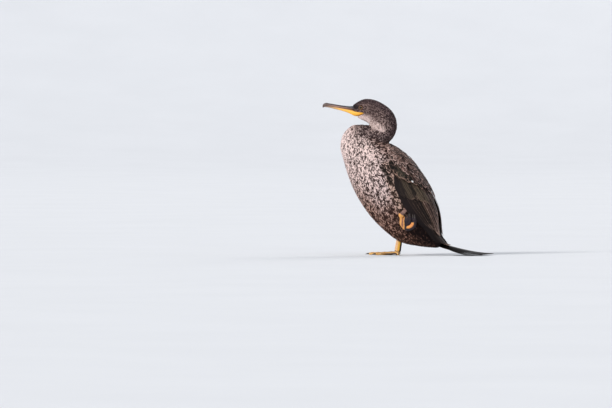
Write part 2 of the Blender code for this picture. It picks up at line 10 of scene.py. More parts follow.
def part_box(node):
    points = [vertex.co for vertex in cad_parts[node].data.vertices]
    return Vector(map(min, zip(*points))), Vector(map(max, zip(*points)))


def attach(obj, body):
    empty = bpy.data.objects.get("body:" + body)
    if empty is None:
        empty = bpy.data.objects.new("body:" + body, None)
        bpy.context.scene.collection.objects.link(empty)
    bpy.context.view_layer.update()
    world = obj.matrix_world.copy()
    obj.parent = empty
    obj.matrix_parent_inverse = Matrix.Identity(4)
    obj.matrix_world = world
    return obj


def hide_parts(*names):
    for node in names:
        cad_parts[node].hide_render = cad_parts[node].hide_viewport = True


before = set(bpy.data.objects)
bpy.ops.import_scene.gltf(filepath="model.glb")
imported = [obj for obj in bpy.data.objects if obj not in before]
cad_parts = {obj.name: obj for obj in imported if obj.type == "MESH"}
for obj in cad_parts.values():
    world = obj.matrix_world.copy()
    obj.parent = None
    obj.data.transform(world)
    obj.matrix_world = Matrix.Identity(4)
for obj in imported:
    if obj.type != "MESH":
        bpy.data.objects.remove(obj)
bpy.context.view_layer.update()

mm = 0.001
scene = bpy.context.scene
draws = np.random.default_rng(7)
print("frame loaded,", len(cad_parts), "nodes")


class Wire:
    # one output of a node, so that a mask can be written as an expression
    def __init__(self, look, socket):
        self.look, self.socket = look, socket

    def __add__(self, other):
        return self.look.maths("ADD", self, other)

    def __sub__(self, other):
        return self.look.maths("SUBTRACT", self, other)

    def __rsub__(self, other):
        return self.look.maths("SUBTRACT", other, self)

    def __mul__(self, other):
        return self.look.maths("MULTIPLY", self, other)

    def __truediv__(self, other):
        return self.look.maths("DIVIDE", self, other)

    def __rtruediv__(self, other):
        return self.look.maths("DIVIDE", other, self)

    def __pow__(self, other):
        return self.look.maths("POWER", self, other)

    __radd__, __rmul__ = __add__, __mul__

    def size(self):
        return self.look.maths("ABSOLUTE", self)

    def sine(self):
        return self.look.maths("SINE", self)

    def step(self, low, high, start=0.0, end=1.0):
        return self.look.node(
            "ShaderNodeMapRange",
            {"Value": self, "From Min": low, "From Max": high, "To Min": start, "To Max": end},
            interpolation_type="SMOOTHSTEP",
        )


class Look:
    # a material and the few ways its nodes are made
    def __init__(self, name, **finish):
        self.material = bpy.data.materials.new(name)
        self.material.use_nodes = True
        self.tree = self.material.node_tree
        self.shader = self.tree.nodes["Principled BSDF"]
        for socket, value in finish.items():
            self.shader.inputs[socket.replace("_", " ")].default_value = value

    def node(self, kind, values, output=0, stops=(), **settings):
        made = self.tree.nodes.new(kind)
        for key, value in settings.items():
            setattr(made, key, value)
        for k, (place, colour) in enumerate(stops):
            elements = made.color_ramp.elements
            stop = elements[k] if k < len(elements) else elements.new(place)
            stop.position, stop.color = place, (*colour, 1)
        for key, value in values.items():
            if isinstance(value, Wire):
                self.tree.links.new(value.socket, made.inputs[key])
            else:
                made.inputs[key].default_value = value
        return Wire(self, made.outputs[output])

    def maths(self, operation, one, other=0.0):
        return self.node("ShaderNodeMath", {0: one, 1: other}, operation=operation)

    def mark(self, name):
        return self.node("ShaderNodeAttribute", {}, "Fac", attribute_name=name)

    def place(self):
        return self.node("ShaderNodeTexCoord", {}, "Object")

    def axes(self):
        spread = self.node("ShaderNodeSeparateXYZ", {0: self.place()})
        return [Wire(self, part) for part in spread.socket.node.outputs]

    def noise(self, scale, detail=3.0, vector=None):
        values = {"Vector": vector or self.place(), "Scale": scale, "Detail": detail, "Roughness": 0.55}
        return self.node("ShaderNodeTexNoise", values)

    def ramp(self, value, stops):
        return self.node("ShaderNodeValToRGB", {"Fac": value}, stops=stops)

    def mix(self, share, one, other, blend="MIX"):
        one, other = (side if isinstance(side, Wire) else (*side, 1) for side in (one, other))
        return self.node("ShaderNodeMix", {0: share, 6: one, 7: other}, 2,
                         data_type="RGBA", blend_type=blend, clamp_factor=True)

    def stretch(self, scale):
        return self.node("ShaderNodeVectorMath", {0: self.place(), 1: scale}, operation="MULTIPLY")

    def feed(self, socket, value):
        self.tree.links.new(value.socket, self.shader.inputs[socket])

    def bump(self, height, strength, depth):
        values = {"Height": height, "Strength": strength, "Distance": depth}
        self.feed("Normal", self.node("ShaderNodeBump", values))


# camera, light and floor

photoView = {"azimuth": 15, "elevation": 1.0, "aim": (-0.1890, -0.0506, 0.1097), "distance": 14.62,
             "lens": 400, "sensor": 36, "clip": 100}
studio = {
    # name: the direction it comes from, its strength, how soft it is in degrees, its colour
    "key": ((-0.62, -0.62, 0.55), 2.5, 16, (1.0, 0.975, 0.94)),
    "fill": ((0.75, -0.60, 0.35), 0.35, 60, (0.92, 0.96, 1.0)),
    "back": ((0.30, 0.85, 0.55), 0.8, 30, (1.0, 0.98, 0.95)),
}
paleSky = {"colour": (0.83, 0.86, 0.90), "strength": 0.66}
floorPlan = {"flat": 16.0, "bend": 9.0, "rise": 0.8, "rings": 12, "sides": 96,
             "tones": [(0.3, (0.675, 0.690, 0.725)), (0.7, (0.695, 0.710, 0.745))]}


def placeCamera():
    turn, rise = math.radians(photoView["azimuth"]), math.radians(photoView["elevation"])
    back = Vector((math.sin(turn) * math.cos(rise), -math.cos(turn) * math.cos(rise), math.sin(rise)))
    lens = bpy.data.cameras.new("photoView")
    lens.lens, lens.sensor_width, lens.clip_end = (photoView[key] for key in ("lens", "sensor", "clip"))
    camera = bpy.data.objects.new("photoView", lens)
    scene.collection.objects.link(camera)
    camera.location = Vector(photoView["aim"]) + back * photoView["distance"]
    camera.rotation_euler = back.to_track_quat("Z", "Y").to_euler()
    scene.camera = camera


def lightStudio():
    for name, (place, strength, softness, colour) in studio.items():
        lamp = bpy.data.lights.new(name, "SUN")
        lamp.energy, lamp.angle, lamp.color = strength, math.radians(softness), colour
        light = bpy.data.objects.new(name, lamp)
        scene.collection.objects.link(light)
        light.location = Vector(place) * 3
        light.rotation_euler = Vector(place).to_track_quat("Z", "Y").to_euler()
    world = bpy.data.worlds.new("paleSky")
    world.use_nodes = True
    ground = world.node_tree.nodes["Background"]
    ground.inputs["Color"].default_value = (*paleSky["colour"], 1)
    ground.inputs["Strength"].default_value = paleSky["strength"]
    scene.world = world
    scene.view_settings.view_transform = "Standard"


def meshFrom(name, points, faces):
    mesh = bpy.data.meshes.new(name)
    mesh.from_pydata(points, [], faces)
    mesh.shade_smooth()
    return mesh


def ringFaces(rings, sides, first=0, closed=False):
    # quads between neighbouring rings of points; closed joins the last ring to the first
    faces = []
    for i in range(rings if closed else rings - 1):
        a, b = first + i * sides, first + (i + 1) % rings * sides
        faces += [(a + k, b + k, b + (k + 1) % sides, a + (k + 1) % sides) for k in range(sides)]
    return faces


def layFloor():
    # a wide flat floor whose rim bends up all round, so that no horizon shows
    flat, bend, sides = floorPlan["flat"], floorPlan["bend"], floorPlan["sides"]
    rims = [(flat, 0.0)]
    for k in range(1, floorPlan["rings"] + 1):
        a = k / floorPlan["rings"] * math.pi / 2 * floorPlan["rise"]
        rims.append((flat + bend * math.sin(a), bend * (1 - math.cos(a))))
    points = [(0, 0, 0)]
    for radius, height in rims:
        turns = [2 * math.pi * k / sides for k in range(sides)]
        points += [(radius * math.cos(a), radius * math.sin(a), height) for a in turns]
    middle = [(0, 1 + k, 1 + (k + 1) % sides) for k in range(sides)]
    mesh = meshFrom("studioFloor", points, middle + ringFaces(len(rims), sides, 1))
    floor = bpy.data.objects.new("studioFloor", mesh)
    scene.collection.objects.link(floor)
    look = Look("palePaper", Roughness=0.9)
    look.feed("Base Color", look.ramp(look.noise(3.0), floorPlan["tones"]))
    mesh.materials.append(look.material)


placeCamera()
lightStudio()
layFloor()
print("camera, light and floor set")


# the body's plan, as in the solids

# belly x, belly z, back x, back z, half width, from the tail's root to the bulge of the folded neck
torsoRows = (
    (90, 16, 106, 29, 15), (70, 17, 95, 46, 25), (37, 21, 90, 84, 38), (6, 29, 81, 116, 48),
    (-27, 53, 67, 148, 54), (-58, 84, 47, 178, 56), (-87, 126, 26, 205, 55),
    (-105, 165, 5, 224, 49.5), (-117.5, 204, -13, 237, 41.5), (-125, 231, -29, 247, 33.5),
    (-120.5, 256, -43, 263, 27), (-109, 271, -56, 274.5, 20.5), (-98, 278.5, -67, 280.5, 13),
    (-89, 281, -77, 281.8, 5),
)
# throat and nape in the same form, from inside the bulge to the bill's root
neckRows = (
    (-68, 262, -50, 226, 19), (-62, 267, -20, 240, 20), (-61, 272, -4, 260, 19.5),
    (-60.5, 276, 0, 281, 18.5), (-60.5, 279, -6, 302, 18), (-61.5, 281.5, -19, 317, 18.5),
    (-65, 284, -38, 329, 19), (-70, 287, -56, 335, 18.5), (-79, 291, -72, 335.5, 17.2),
    (-86, 295, -85, 330.5, 14.5), (-91.5, 298.5, -94.5, 324.5, 11.5), (-95.5, 302, -101, 320.5, 8.5),
)
bodyParts = {
    # name: its rows, the roundness of its sections, the stations of its first and last row
    "torso": (np.array(torsoRows, float), 2.2, 0.0, 0.6),
    "neck": (np.array(neckRows, float), 2.1, 0.52, 1.0),
}
sideways = np.array((0.0, 1.0, 0.0))


def smoothRows(rows, t):
    # a smooth curve through the rows, carried on straight past its ends
    t = np.asarray(t, float)
    last = len(rows) - 1
    i = np.clip(np.floor(t).astype(int), 0, last - 1)
    s = np.clip(t - i, 0, 1)[..., None]
    p1, p2 = rows[i], rows[i + 1]
    p0 = np.where((i > 0)[..., None], rows[np.maximum(i - 1, 0)], 2 * p1 - p2)
    p3 = np.where((i + 2 <= last)[..., None], rows[np.minimum(i + 2, last)], 2 * p2 - p1)
    curve = 0.5 * (2 * p1 + (p2 - p0) * s + (2 * p0 - 5 * p1 + 4 * p2 - p3) * s**2
                   + (3 * p1 - p0 - 3 * p2 + p3) * s**3)
    over = np.maximum(t - last, 0)[..., None] * (rows[last] - rows[last - 1])
    under = np.minimum(t, 0)[..., None] * (rows[1] - rows[0])
    return curve + over + under


def bodyPoint(part, t, angle):
    # a point of the outer surface; angle 0 is the back or nape and positive angles go to +Y
    rows, power, _, _ = bodyParts[part]
    row = smoothRows(rows, t)
    low = np.stack([row[..., 0], 0 * row[..., 0], row[..., 1]], -1)
    high = np.stack([row[..., 2], 0 * row[..., 0], row[..., 3]], -1)
    up, side = ((np.sign(c) * np.abs(c) ** (2 / power))[..., None] for c in (np.cos(angle), np.sin(angle)))
    return ((low + high) / 2 + (high - low) / 2 * up + sideways * row[..., 4:5] * side) * mm


def stationOf(part, t):
    # how far along the whole bird a row lies, from 0 at the tail's root to 1 at the bill
    rows, _, start, end = bodyParts[part]
    return start + (end - start) * t / (len(rows) - 1)


def unit(vectors):
    return vectors / np.maximum(np.linalg.norm(vectors, axis=-1, keepdims=True), 1e-12)


def bodyOut(part, t, angle):
    # which way is out of the body there
    nudge = 0.02
    across = bodyPoint(part, t, angle + nudge) - bodyPoint(part, t, angle - nudge)
    along = bodyPoint(part, t + nudge, angle) - bodyPoint(part, t - nudge, angle)
    out = unit(np.cross(across, along))
    middle = (bodyPoint(part, t, 0 * angle) + bodyPoint(part, t, 0 * angle + math.pi)) / 2
    flip = np.sum(out * (bodyPoint(part, t, angle) - middle), -1, keepdims=True) < 0
    return np.where(flip, -out, out)


# meshes

def addObject(name, mesh, look, replaced=()):
    made = bpy.data.objects.new(name, mesh)
    scene.collection.objects.link(made)
    mesh.materials.append(look.material)
    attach(made, "root")
    if replaced:
        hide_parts(*replaced)
    return made


def solids(*nodes):
    return [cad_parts[node].data for node in nodes]


def remeshed(name, meshes, voxel, rounds):
    # one closed fine mesh round these meshes, smoothed
    gathered = bmesh.new()
    for mesh in meshes:
        gathered.from_mesh(mesh)
    mesh = bpy.data.meshes.new(name)
    gathered.to_mesh(mesh)
    gathered.free()
    rough = bpy.data.objects.new(name + "Rough", mesh)
    scene.collection.objects.link(rough)
    wrap = rough.modifiers.new("wrap", "REMESH")
    wrap.mode, wrap.voxel_size = "VOXEL", voxel
    calm = rough.modifiers.new("calm", "SMOOTH")
    calm.factor, calm.iterations = 0.5, rounds
    fine = bpy.data.meshes.new_from_object(rough.evaluated_get(bpy.context.evaluated_depsgraph_get()))
    bpy.data.objects.remove(rough)
    bpy.data.meshes.remove(mesh)
    fine.name = name
    fine.materials.clear()
    fine.shade_smooth()
    return fine


def meshForm(mesh):
    # the places and normals of its points
    form = []
    for source, key in ((mesh.vertices, "co"), (mesh.vertex_normals, "vector")):
        values = np.zeros(len(source) * 3, np.float32)
        source.foreach_get(key, values)
        form.append(values.reshape(-1, 3).astype(float))
    return form


def setPoints(mesh, points):
    mesh.vertices.foreach_set("co", points.astype(np.float32).ravel())
    mesh.update()


def addMark(mesh, name, values):
    mark = mesh.attributes.new(name, "FLOAT", "POINT")
    mark.data.foreach_set("value", values.astype(np.float32).ravel())


# how far a piece may turn before its map is cut, in degrees, and the gap between its parts
unwrapping = {"angle": 66, "margin": 0.002}


def unwrap(made):
    # an unwrap of its own; the coat's patches are placed on the skin's
    bpy.ops.object.select_all(action="DESELECT")
    bpy.context.view_layer.objects.active = made
    made.select_set(True)
    made.data.uv_layers.new(name="OFBake")
    bpy.ops.object.mode_set(mode="EDIT")
    bpy.ops.mesh.select_all(action="SELECT")
    angle, margin = math.radians(unwrapping["angle"]), unwrapping["margin"]
    bpy.ops.uv.smart_project(angle_limit=angle, island_margin=margin)
    bpy.ops.object.mode_set(mode="OBJECT")
    return made


def netOf(points):
    # finds the nearest of these points
    net = KDTree(len(points))
    for k, point in enumerate(points):
        net.insert(point, k)
    net.balance()
    return net


def ball(radius, around, along):
    # points and faces of a ball round the origin
    shape = bmesh.new()
    bmesh.ops.create_uvsphere(shape, u_segments=around, v_segments=along, radius=radius)
    shape.verts.index_update()
    points = np.array([v.co for v in shape.verts])
    faces = [tuple(v.index for v in f.verts) for f in shape.faces]
    shape.free()
    return points, faces


# one skin over torso, neck and head

# the coat's depth in mm at some stations, and the net's rows and first row on each part of the body
skinPlan = {"voxel": 1.7, "smoothing": 6, "coat": (2.6, 1.9, 1.1, 0.5), "coatStations": (0.0, 0.6, 0.8, 1.0),
            "net": (("torso", 90, 0.0), ("neck", 70, 2.0)), "turns": 61}


def coatDepth(station):
    return np.interp(station, skinPlan["coatStations"], skinPlan["coat"]) * mm


def surveyBody():
    # a net of known places over the body, to tell any point's station and flank
    points, notes = [], []
    for part, steps, first in skinPlan["net"]:
        rows = np.linspace(first, len(bodyParts[part][0]) - 1, steps)
        t, angle = np.meshgrid(rows, np.linspace(-math.pi, math.pi, skinPlan["turns"]), indexing="ij")
        points.append(bodyPoint(part, t, angle).reshape(-1, 3))
        notes.append(np.stack([stationOf(part, t).ravel(), np.abs(angle).ravel() / math.pi], -1))
    return netOf(np.concatenate(points)), np.concatenate(notes)


def buildSkin():
    covered = ("torso", "neck", "head")
    mesh = remeshed("bodySkin", solids(*covered), skinPlan["voxel"] * mm, skinPlan["smoothing"])
    net, notes = surveyBody()
    points, normals = meshForm(mesh)
    station, flank = notes[[net.find(p)[1] for p in points]].T
    setPoints(mesh, points - normals * coatDepth(station)[:, None])
    addMark(mesh, "station", station)
    addMark(mesh, "flank", flank)
    print("skin:", len(mesh.polygons), "faces")
    return unwrap(addObject("bodySkin", mesh, skinLook(), covered))


# looks of the plumage

# along the bird, from the tail's root to the bill, on three lines down its side: the station, the
# pale and the dark colour of its feathers in linear red, green and blue, and the share that is pale
plumage = {
    "back": (
        (0.00, (0.050, 0.030, 0.026), (0.012, 0.006, 0.006), 0.15),
        (0.15, (0.12, 0.073, 0.062), (0.020, 0.012, 0.009), 0.20),
        (0.34, (0.36, 0.22, 0.19), (0.038, 0.021, 0.018), 0.34),
        (0.52, (0.33, 0.21, 0.17), (0.038, 0.021, 0.018), 0.36),
        (0.61, (0.14, 0.089, 0.087), (0.020, 0.012, 0.012), 0.32),
        (0.67, (0.17, 0.11, 0.11), (0.026, 0.016, 0.017), 0.38),
        (0.78, (0.18, 0.12, 0.12), (0.030, 0.018, 0.021), 0.42),
        (0.90, (0.12, 0.080, 0.079), (0.026, 0.015, 0.017), 0.36),
        (1.00, (0.12, 0.076, 0.076), (0.026, 0.015, 0.017), 0.36),
    ),
    "side": (
        # up to 0.195 dark partly as the vent's own plumage, partly as painted shade under the wing's lower
        # edge
        (0.00, (0.050, 0.022, 0.017), (0.007, 0.004, 0.004), 0.10),
        (0.14, (0.12, 0.060, 0.045), (0.013, 0.006, 0.006), 0.12),
        (0.195, (0.40, 0.24, 0.19), (0.030, 0.013, 0.010), 0.30),
        (0.25, (0.79, 0.61, 0.58), (0.041, 0.024, 0.022), 0.56),
        (0.40, (0.88, 0.69, 0.65), (0.055, 0.035, 0.032), 0.68),
        (0.60, (0.54, 0.39, 0.36), (0.044, 0.028, 0.027), 0.50),
        (0.74, (0.32, 0.22, 0.20), (0.044, 0.028, 0.028), 0.36),
        (0.88, (0.32, 0.21, 0.19), (0.046, 0.029, 0.027), 0.38),
        (1.00, (0.20, 0.13, 0.11), (0.035, 0.021, 0.021), 0.36),
    ),
    "belly": (
        (0.00, (0.070, 0.030, 0.021), (0.012, 0.005, 0.004), 0.12),
        (0.12, (0.33, 0.17, 0.12), (0.029, 0.012, 0.007), 0.28),
        (0.25, (0.51, 0.31, 0.25), (0.033, 0.014, 0.011), 0.36),
        (0.315, (0.86, 0.67, 0.63), (0.052, 0.031, 0.028), 0.60),
        (0.46, (0.94, 0.76, 0.73), (0.094, 0.061, 0.057), 0.78),
        (0.58, (0.86, 0.67, 0.64), (0.072, 0.046, 0.043), 0.68),
        (0.66, (0.70, 0.54, 0.50), (0.18, 0.12, 0.11), 0.68),
        (0.78, (0.97, 0.77, 0.72), (0.56, 0.40, 0.36), 0.94),
        (1.00, (0.97, 0.78, 0.73), (0.62, 0.45, 0.41), 0.96),
    ),
}
# places on the bird's side with tones of their own: the pale and the dark tone and the pale share of each
placeTones = {
    "patch": ((0.74, 0.58, 0.54), (0.24, 0.165, 0.15), 0.70),
    "band": ((0.32, 0.23, 0.215), (0.048, 0.032, 0.032), 0.30),
    "behind": ((0.52, 0.34, 0.28), (0.024, 0.016, 0.013), 0.40),
    "beside": ((0.56, 0.38, 0.31), (0.034, 0.020, 0.015), 0.42),
    # the dark line before the wing's bend: partly its dark olive edge feathers, partly painted shade
    "bend": ((0.13, 0.085, 0.070), (0.012, 0.010, 0.008), 0.16),
    "lore": ((0.050, 0.036, 0.038), (0.014, 0.010, 0.011), 0.20),
}


# lines on the bird's side that some of them follow: the middle's x and z in metres, and the slant
placeLines = {"patch": (-0.0390, 0.2765, 0.86, 0.50), "bend": (-0.0097, 0.174, 0.60, 0.80),
              "beside": (-0.004, 0.172, 0.42, 0.91)}


def placeMasks(look, wander, fine):
    x, _, z = look.axes()
    station = look.mark("station")

    def slanted(name):
        # how far along its line from the middle, and how far beside it
        middleX, middleZ, cosine, sine = placeLines[name]
        right, high = x - middleX, z - middleZ
        return right * cosine - high * sine, right * sine + high * cosine

    # the pale patch behind the throat
    run, rise = slanted("patch")
    near = (run / 0.020) ** 2 + (rise / 0.0078) ** 2 + wander * 0.9
    patch = (1 - near.step(0.40, 1.45)) * station.step(0.60, 0.63)
    # the dark band over the top of the folded neck
    band = (z + x * 0.10 + wander * 0.016 + fine * 0.005).step(0.241, 0.2535)
    band = band * (1 - station.step(0.598, 0.612)) * (x * -1.0 + wander * 0.03).step(0.098, 0.058)
    # the dark line in front of the wing's bend, partly painted shade, and the brownish feathers behind it
    ahead, aside = slanted("bend")
    aside = aside + wander * 0.004 + fine * 0.003
    bend = (1 - aside.size().step(0.0018, 0.0060)) * (1 - ahead.size().step(0.016, 0.027))
    behind = aside.step(0.0, 0.004) * (1 - aside.step(0.014, 0.019))
    behind = behind * (1 - (ahead - 0.004).size().step(0.024, 0.034))
    # brown feathers along the front edge of the wing
    down, beside = slanted("beside")
    beside = (beside + wander * 0.008 + fine * 0.004).step(-0.017, -0.007)
    beside = beside * down.step(-0.004, 0.008) * (1 - down.step(0.070, 0.095))
    # the dark skin between eye and bill
    lore = ((x + 0.090) / 0.013) ** 2 + ((z - 0.3185) / 0.0048) ** 2 + fine * 0.8
    return {"patch": patch, "band": band, "behind": behind, "beside": beside, "bend": bend,
            "lore": 1 - lore.step(0.5, 1.3)}


def coatTones(look):
    # the markings that skin and coat share: the pale and the dark tone there, and the pale share
    wander = look.noise(55.0, 2.0) - 0.5
    fine = look.noise(260.0, 2.0) - 0.5
    station = look.mark("station") + wander * 0.05 + fine * 0.02
    flank = look.mark("flank") + wander * 0.14 + fine * 0.05
    tones = []
    for k in (1, 2, 3):
        lines = [look.ramp(station, [(row[0], row[k] if k < 3 else (row[k],) * 3) for row in rows])
                 for rows in plumage.values()]
        upper = look.mix(flank.step(0.18, 0.46), lines[0], lines[1])
        tones.append(look.mix(flank.step(0.54, 0.80), upper, lines[2]))
    for name, mask in placeMasks(look, wander, fine).items():
        pale, dark, share = placeTones[name]
        own = (pale, dark, (share,) * 3)
        tones = [look.mix(mask * 0.9, one, other) for one, other in zip(tones, own)]
    return tones


def darker(look, colour, share):
    return look.mix(1.0, colour, share, "MULTIPLY")


def skinLook():
    look = Look("skinUnderCoat", Roughness=0.9, Specular_IOR_Level=0.1)
    pale, dark, share = coatTones(look)
    downy = look.noise(900.0, 2.0)
    look.feed("Base Color", look.mix(share * 0.6 * downy, dark, pale))
    look.bump(downy, 0.5, 0.5 * mm)
    return look


def barbs(look, rows, slant):
    # fine lines that run from the shaft to the edges
    along, across = look.mark("along"), look.mark("across")
    return (along * rows - across.size() * slant + look.mark("seed") * 9.0).sine() * 0.5 + 0.5


def bodyFeatherLook(name, softness, shaft, tipSpots):
    # each feather is pale or dark by its own draw, paler to the tip and darker at the root
    look = Look(name, Roughness=0.8, Specular_IOR_Level=0.12)
    pale, dark, share = coatTones(look)
    along, across, seed, spot = (look.mark(key) for key in ("along", "across", "seed", "spot"))
    across = across.size()
    crowd = look.noise(110.0, 2.0) - 0.5
    turn = share - seed + crowd * 0.28 + (along.step(0.45, 1.0) - 0.6) * 0.25 + (across - 0.5) * 0.30
    colour = look.mix(turn.step(-softness, softness), dark, pale)
    tip = along.step(0.74, 0.90) * (1 - across.step(0.25, 0.80)) * spot.step(0.62, 0.68)
    colour = look.mix(tip * tipSpots, colour, dark)
    root = 1 - along.step(0.10, 0.55)
    colour = look.mix(root * 0.7, colour, dark)
    line = 1 - across.step(0.03, 0.16)
    colour = look.mix(line * shaft, colour, darker(look, dark, (0.5, 0.5, 0.5)))
    look.feed("Base Color", colour)
    look.bump(barbs(look, 46.0, 9.0), 0.35, 0.25 * mm)
    return look


# the tones that every larger feather shares: in deep shade, a stray white one, and the shaft
sharedTones = {"shade": (0.014, 0.009, 0.009), "white": (0.78, 0.76, 0.76), "shaft": (0.012, 0.008, 0.008)}


def fringedLook(name, tones, edge, fringe, gloss, streaks, mottle):
    # larger feathers: a dark middle, a pale fringe round the tip and a dark shaft
    centre, deep, rimTone = tones
    look = Look(name, Roughness=gloss, Specular_IOR_Level=0.1)
    along, across, seed, spot, dusk = (look.mark(key) for key in ("along", "across", "seed", "spot", "dusk"))
    across = across.size()
    blotch = look.noise(210.0, 2.0) - 0.5
    worn = look.noise(800.0, 2.0) - 0.5
    rim = across ** 2.6 + along.step(0.72, 1.0) ** 2.0 + blotch * 0.35 + worn * 0.45
    rim = rim.step(edge, edge + 0.42) * spot.step(0.0, 1.0, 0.45, 1.0)
    rim = rim * (blotch + worn * 0.7).step(-0.30, 0.12, 0.35, 1.0)
    colour = look.mix((seed + blotch * 0.6).step(0.1, 0.9), centre, deep)
    streak = (across * 9.0 + seed * 20.0 + blotch * 3.0 + along).sine() * 0.5 + 0.5
    colour = look.mix(streak * streaks, colour, deep)
    colour = look.mix((worn * 0.6 + blotch).step(0.0, 0.22) * mottle, colour, rimTone)
    colour = look.mix(rim * fringe, colour, rimTone)
    # painted shade as far as each feather's dusk mark goes above zero, a white feather where it is well below
    colour = look.mix(dusk.step(0.0, 1.0), colour, sharedTones["shade"])
    colour = look.mix((dusk * -1.0).step(0.7, 0.9), colour, sharedTones["white"])
    line = 1 - across.step(0.02, 0.09)
    look.feed("Base Color", look.mix(line * 0.8, colour, sharedTones["shaft"]))
    look.bump(barbs(look, 150.0, 26.0), 0.3, 0.2 * mm)
    return look


# feathers as closed thin vanes

vaneShapes = {
    # width along the feather as places and shares, how uneven the tip is, how the vane is arched and ribbed,
    # and how thick it is
    "soft": {"steps": 3, "columns": 4, "outline": ((0, 0.3, 0.65, 0.9, 1), (0.3, 0.85, 1, 0.72, 0.34)),
             "ragged": 0.10, "point": 0.05, "arch": 0.07, "rib": 0.05 * mm, "thickness": 0.14 * mm},
    "fine": {"steps": 3, "columns": 2, "outline": ((0, 0.35, 0.7, 1), (0.35, 0.95, 0.85, 0.25)),
             "ragged": 0.03, "point": 0.06, "arch": 0.06, "rib": 0.04 * mm, "thickness": 0.10 * mm},
    "round": {"steps": 5, "columns": 4, "outline": ((0, 0.3, 0.65, 0.88, 1), (0.3, 0.85, 1, 0.86, 0.42)),
              "ragged": 0.03, "point": 0.06, "arch": 0.06, "rib": 0.12 * mm, "thickness": 0.2 * mm},
    "flight": {"steps": 14, "columns": 6,
               "outline": ((0, 0.12, 0.5, 0.83, 0.93, 0.98, 1), (0.35, 0.8, 1, 0.96, 0.78, 0.5, 0.24)),
               "ragged": 0.006, "point": 0.03, "arch": 0.035, "rib": 0.35 * mm, "thickness": 0.3 * mm,
               "shaft": -0.25, "torn": 0.10, "crowd": 0.75},
    "covert": {"steps": 9, "columns": 6,
               "outline": ((0, 0.2, 0.6, 0.78, 0.9, 0.97, 1), (0.35, 0.85, 1, 0.95, 0.76, 0.48, 0.24)),
               "ragged": 0.012, "point": 0.04, "arch": 0.045, "rib": 0.25 * mm, "thickness": 0.25 * mm,
               "shaft": -0.1, "torn": 0.08, "crowd": 0.62},
}
# unless said otherwise: where the shaft runs, how much of the edge is torn, how rows crowd to the root
plainVane = {"shaft": 0.0, "torn": 0.0, "crowd": 0.9}
tornFrom, ribWidth = 0.86, 0.16


def jitter(values, amount):
    return values + draws.normal(0, amount, len(values))


def spread(values, reach):
    # reads values, feathers x places x 3, at fractional places
    last = values.shape[1] - 1
    spot = np.clip(reach, 0, 1) * last
    i = np.minimum(spot.astype(int), last - 1)
    s = (spot - i)[..., None]
    rows = np.arange(len(values))[:, None, None]
    return values[rows, i] * (1 - s) + values[rows, i + 1] * s


def makeVanes(name, line, out, width, shapeName, marks, patch, look, replaced=()):
    # line and out: feathers x places x 3; every feather is a closed leaf of quads with a sharp rim
    count, shape = len(line), {**plainVane, **vaneShapes[shapeName]}
    along = np.linspace(0, 1, shape["steps"] + 1) ** shape["crowd"]
    u, a = np.meshgrid(along, np.linspace(-1, 1, shape["columns"] + 1), indexing="ij")
    rim = np.ones(u.shape, bool)
    rim[1:-1, 1:-1] = False
    u, a, width = np.repeat(u[None], count, 0), np.repeat(a[None], count, 0), width[:, None, None]
    ragged = draws.uniform(-1, 1, u.shape) * shape["ragged"] * (u > 0.999)
    pointed = -shape["point"] * np.abs(a) ** 2 * u ** 3
    reach = np.clip(u * (1 - shape["ragged"] - 0.001) + ragged + pointed, 0, 1)
    torn = 1 - shape["torn"] * (draws.random(u.shape) > tornFrom) * (np.abs(a) > 0.99)
    half = np.interp(u, *shape["outline"]) * torn * width / 2
    offset = a - shape["shaft"] * (1 - np.abs(a))
    middle, outs = spread(line, reach), unit(spread(out, reach))
    sides = unit(np.cross(spread(np.gradient(line, axis=1), reach), outs))
    arch = (1 - a ** 2) * shape["arch"] * width
    rib = np.exp(-((a - shape["shaft"]) / ribWidth) ** 2) * shape["rib"]
    top = middle + sides * (offset * half)[..., None] + outs * (arch + rib)[..., None]
    bottom = top - outs * (shape["thickness"] * (1 - np.abs(a) ** 3))[..., None]

    # both sides share the rim's points, and the lower side has points of its own inside it
    each = rim.size + (~rim).sum()
    upper = np.arange(rim.size).reshape(rim.shape)
    lower = upper.copy()
    lower[~rim] = np.arange(rim.size, each)
    quads = [np.stack([index[:-1, :-1], index[1:, :-1], index[1:, 1:], index[:-1, 1:]], -1).reshape(-1, 4)
             for index in (upper, lower)]
    quads = np.concatenate([quads[0][:, ::-1], quads[1]])
    faces = (quads[None] + np.arange(count)[:, None, None] * each).reshape(-1, 4)

    def perPoint(above, below):
        inner = below[:, ~rim].reshape(count, each - rim.size, -1)
        return np.concatenate([above.reshape(count, rim.size, -1), inner], 1).reshape(count * each, -1)

    mesh = meshFrom(name, perPoint(top, bottom), faces)
    addMark(mesh, "along", perPoint(u, u))
    addMark(mesh, "across", perPoint(offset, offset))
    for key, values in marks.items():
        addMark(mesh, key, np.repeat(values, each))
    at, size = patch
    uv = at[:, None, None] + np.stack([a * 0.5, u - 0.5], -1) * size
    uv = perPoint(uv, uv)[faces.ravel()]
    mesh.uv_layers.new(name="OFBake").data.foreach_set("uv", uv.astype(np.float32).ravel())
    ends = np.zeros(len(mesh.edges) * 2, np.int32)
    mesh.edges.foreach_get("vertices", ends)
    onRim = np.tile(np.append(rim.ravel(), np.zeros(each - rim.size, bool)), count)
    sharp = mesh.attributes.new("sharp_edge", "BOOLEAN", "EDGE")
    sharp.data.foreach_set("value", onRim[ends.reshape(-1, 2)].all(1))
    addObject(name, mesh, look, replaced)
    print(f"{name}: {count} feathers, {2 * len(faces)} triangles")


def layVanes(name, lines, outs, widths, shape, dusk, look, node, across):
    # large feathers with a patch each, in rows of this many over the map
    count = len(lines)
    rows, cell = math.ceil(count / across), np.arange(count)
    at = np.stack([(cell % across + 0.5) / across, (cell // across + 0.5) / rows], -1)
    marks = {"seed": draws.random(count), "spot": draws.random(count), "dusk": dusk}
    patch = (at, (0.8 / across, 0.9 / rows))
    makeVanes(name, lines, outs, widths * mm, shape, marks, patch, look, (node,))


# the coat of small feathers

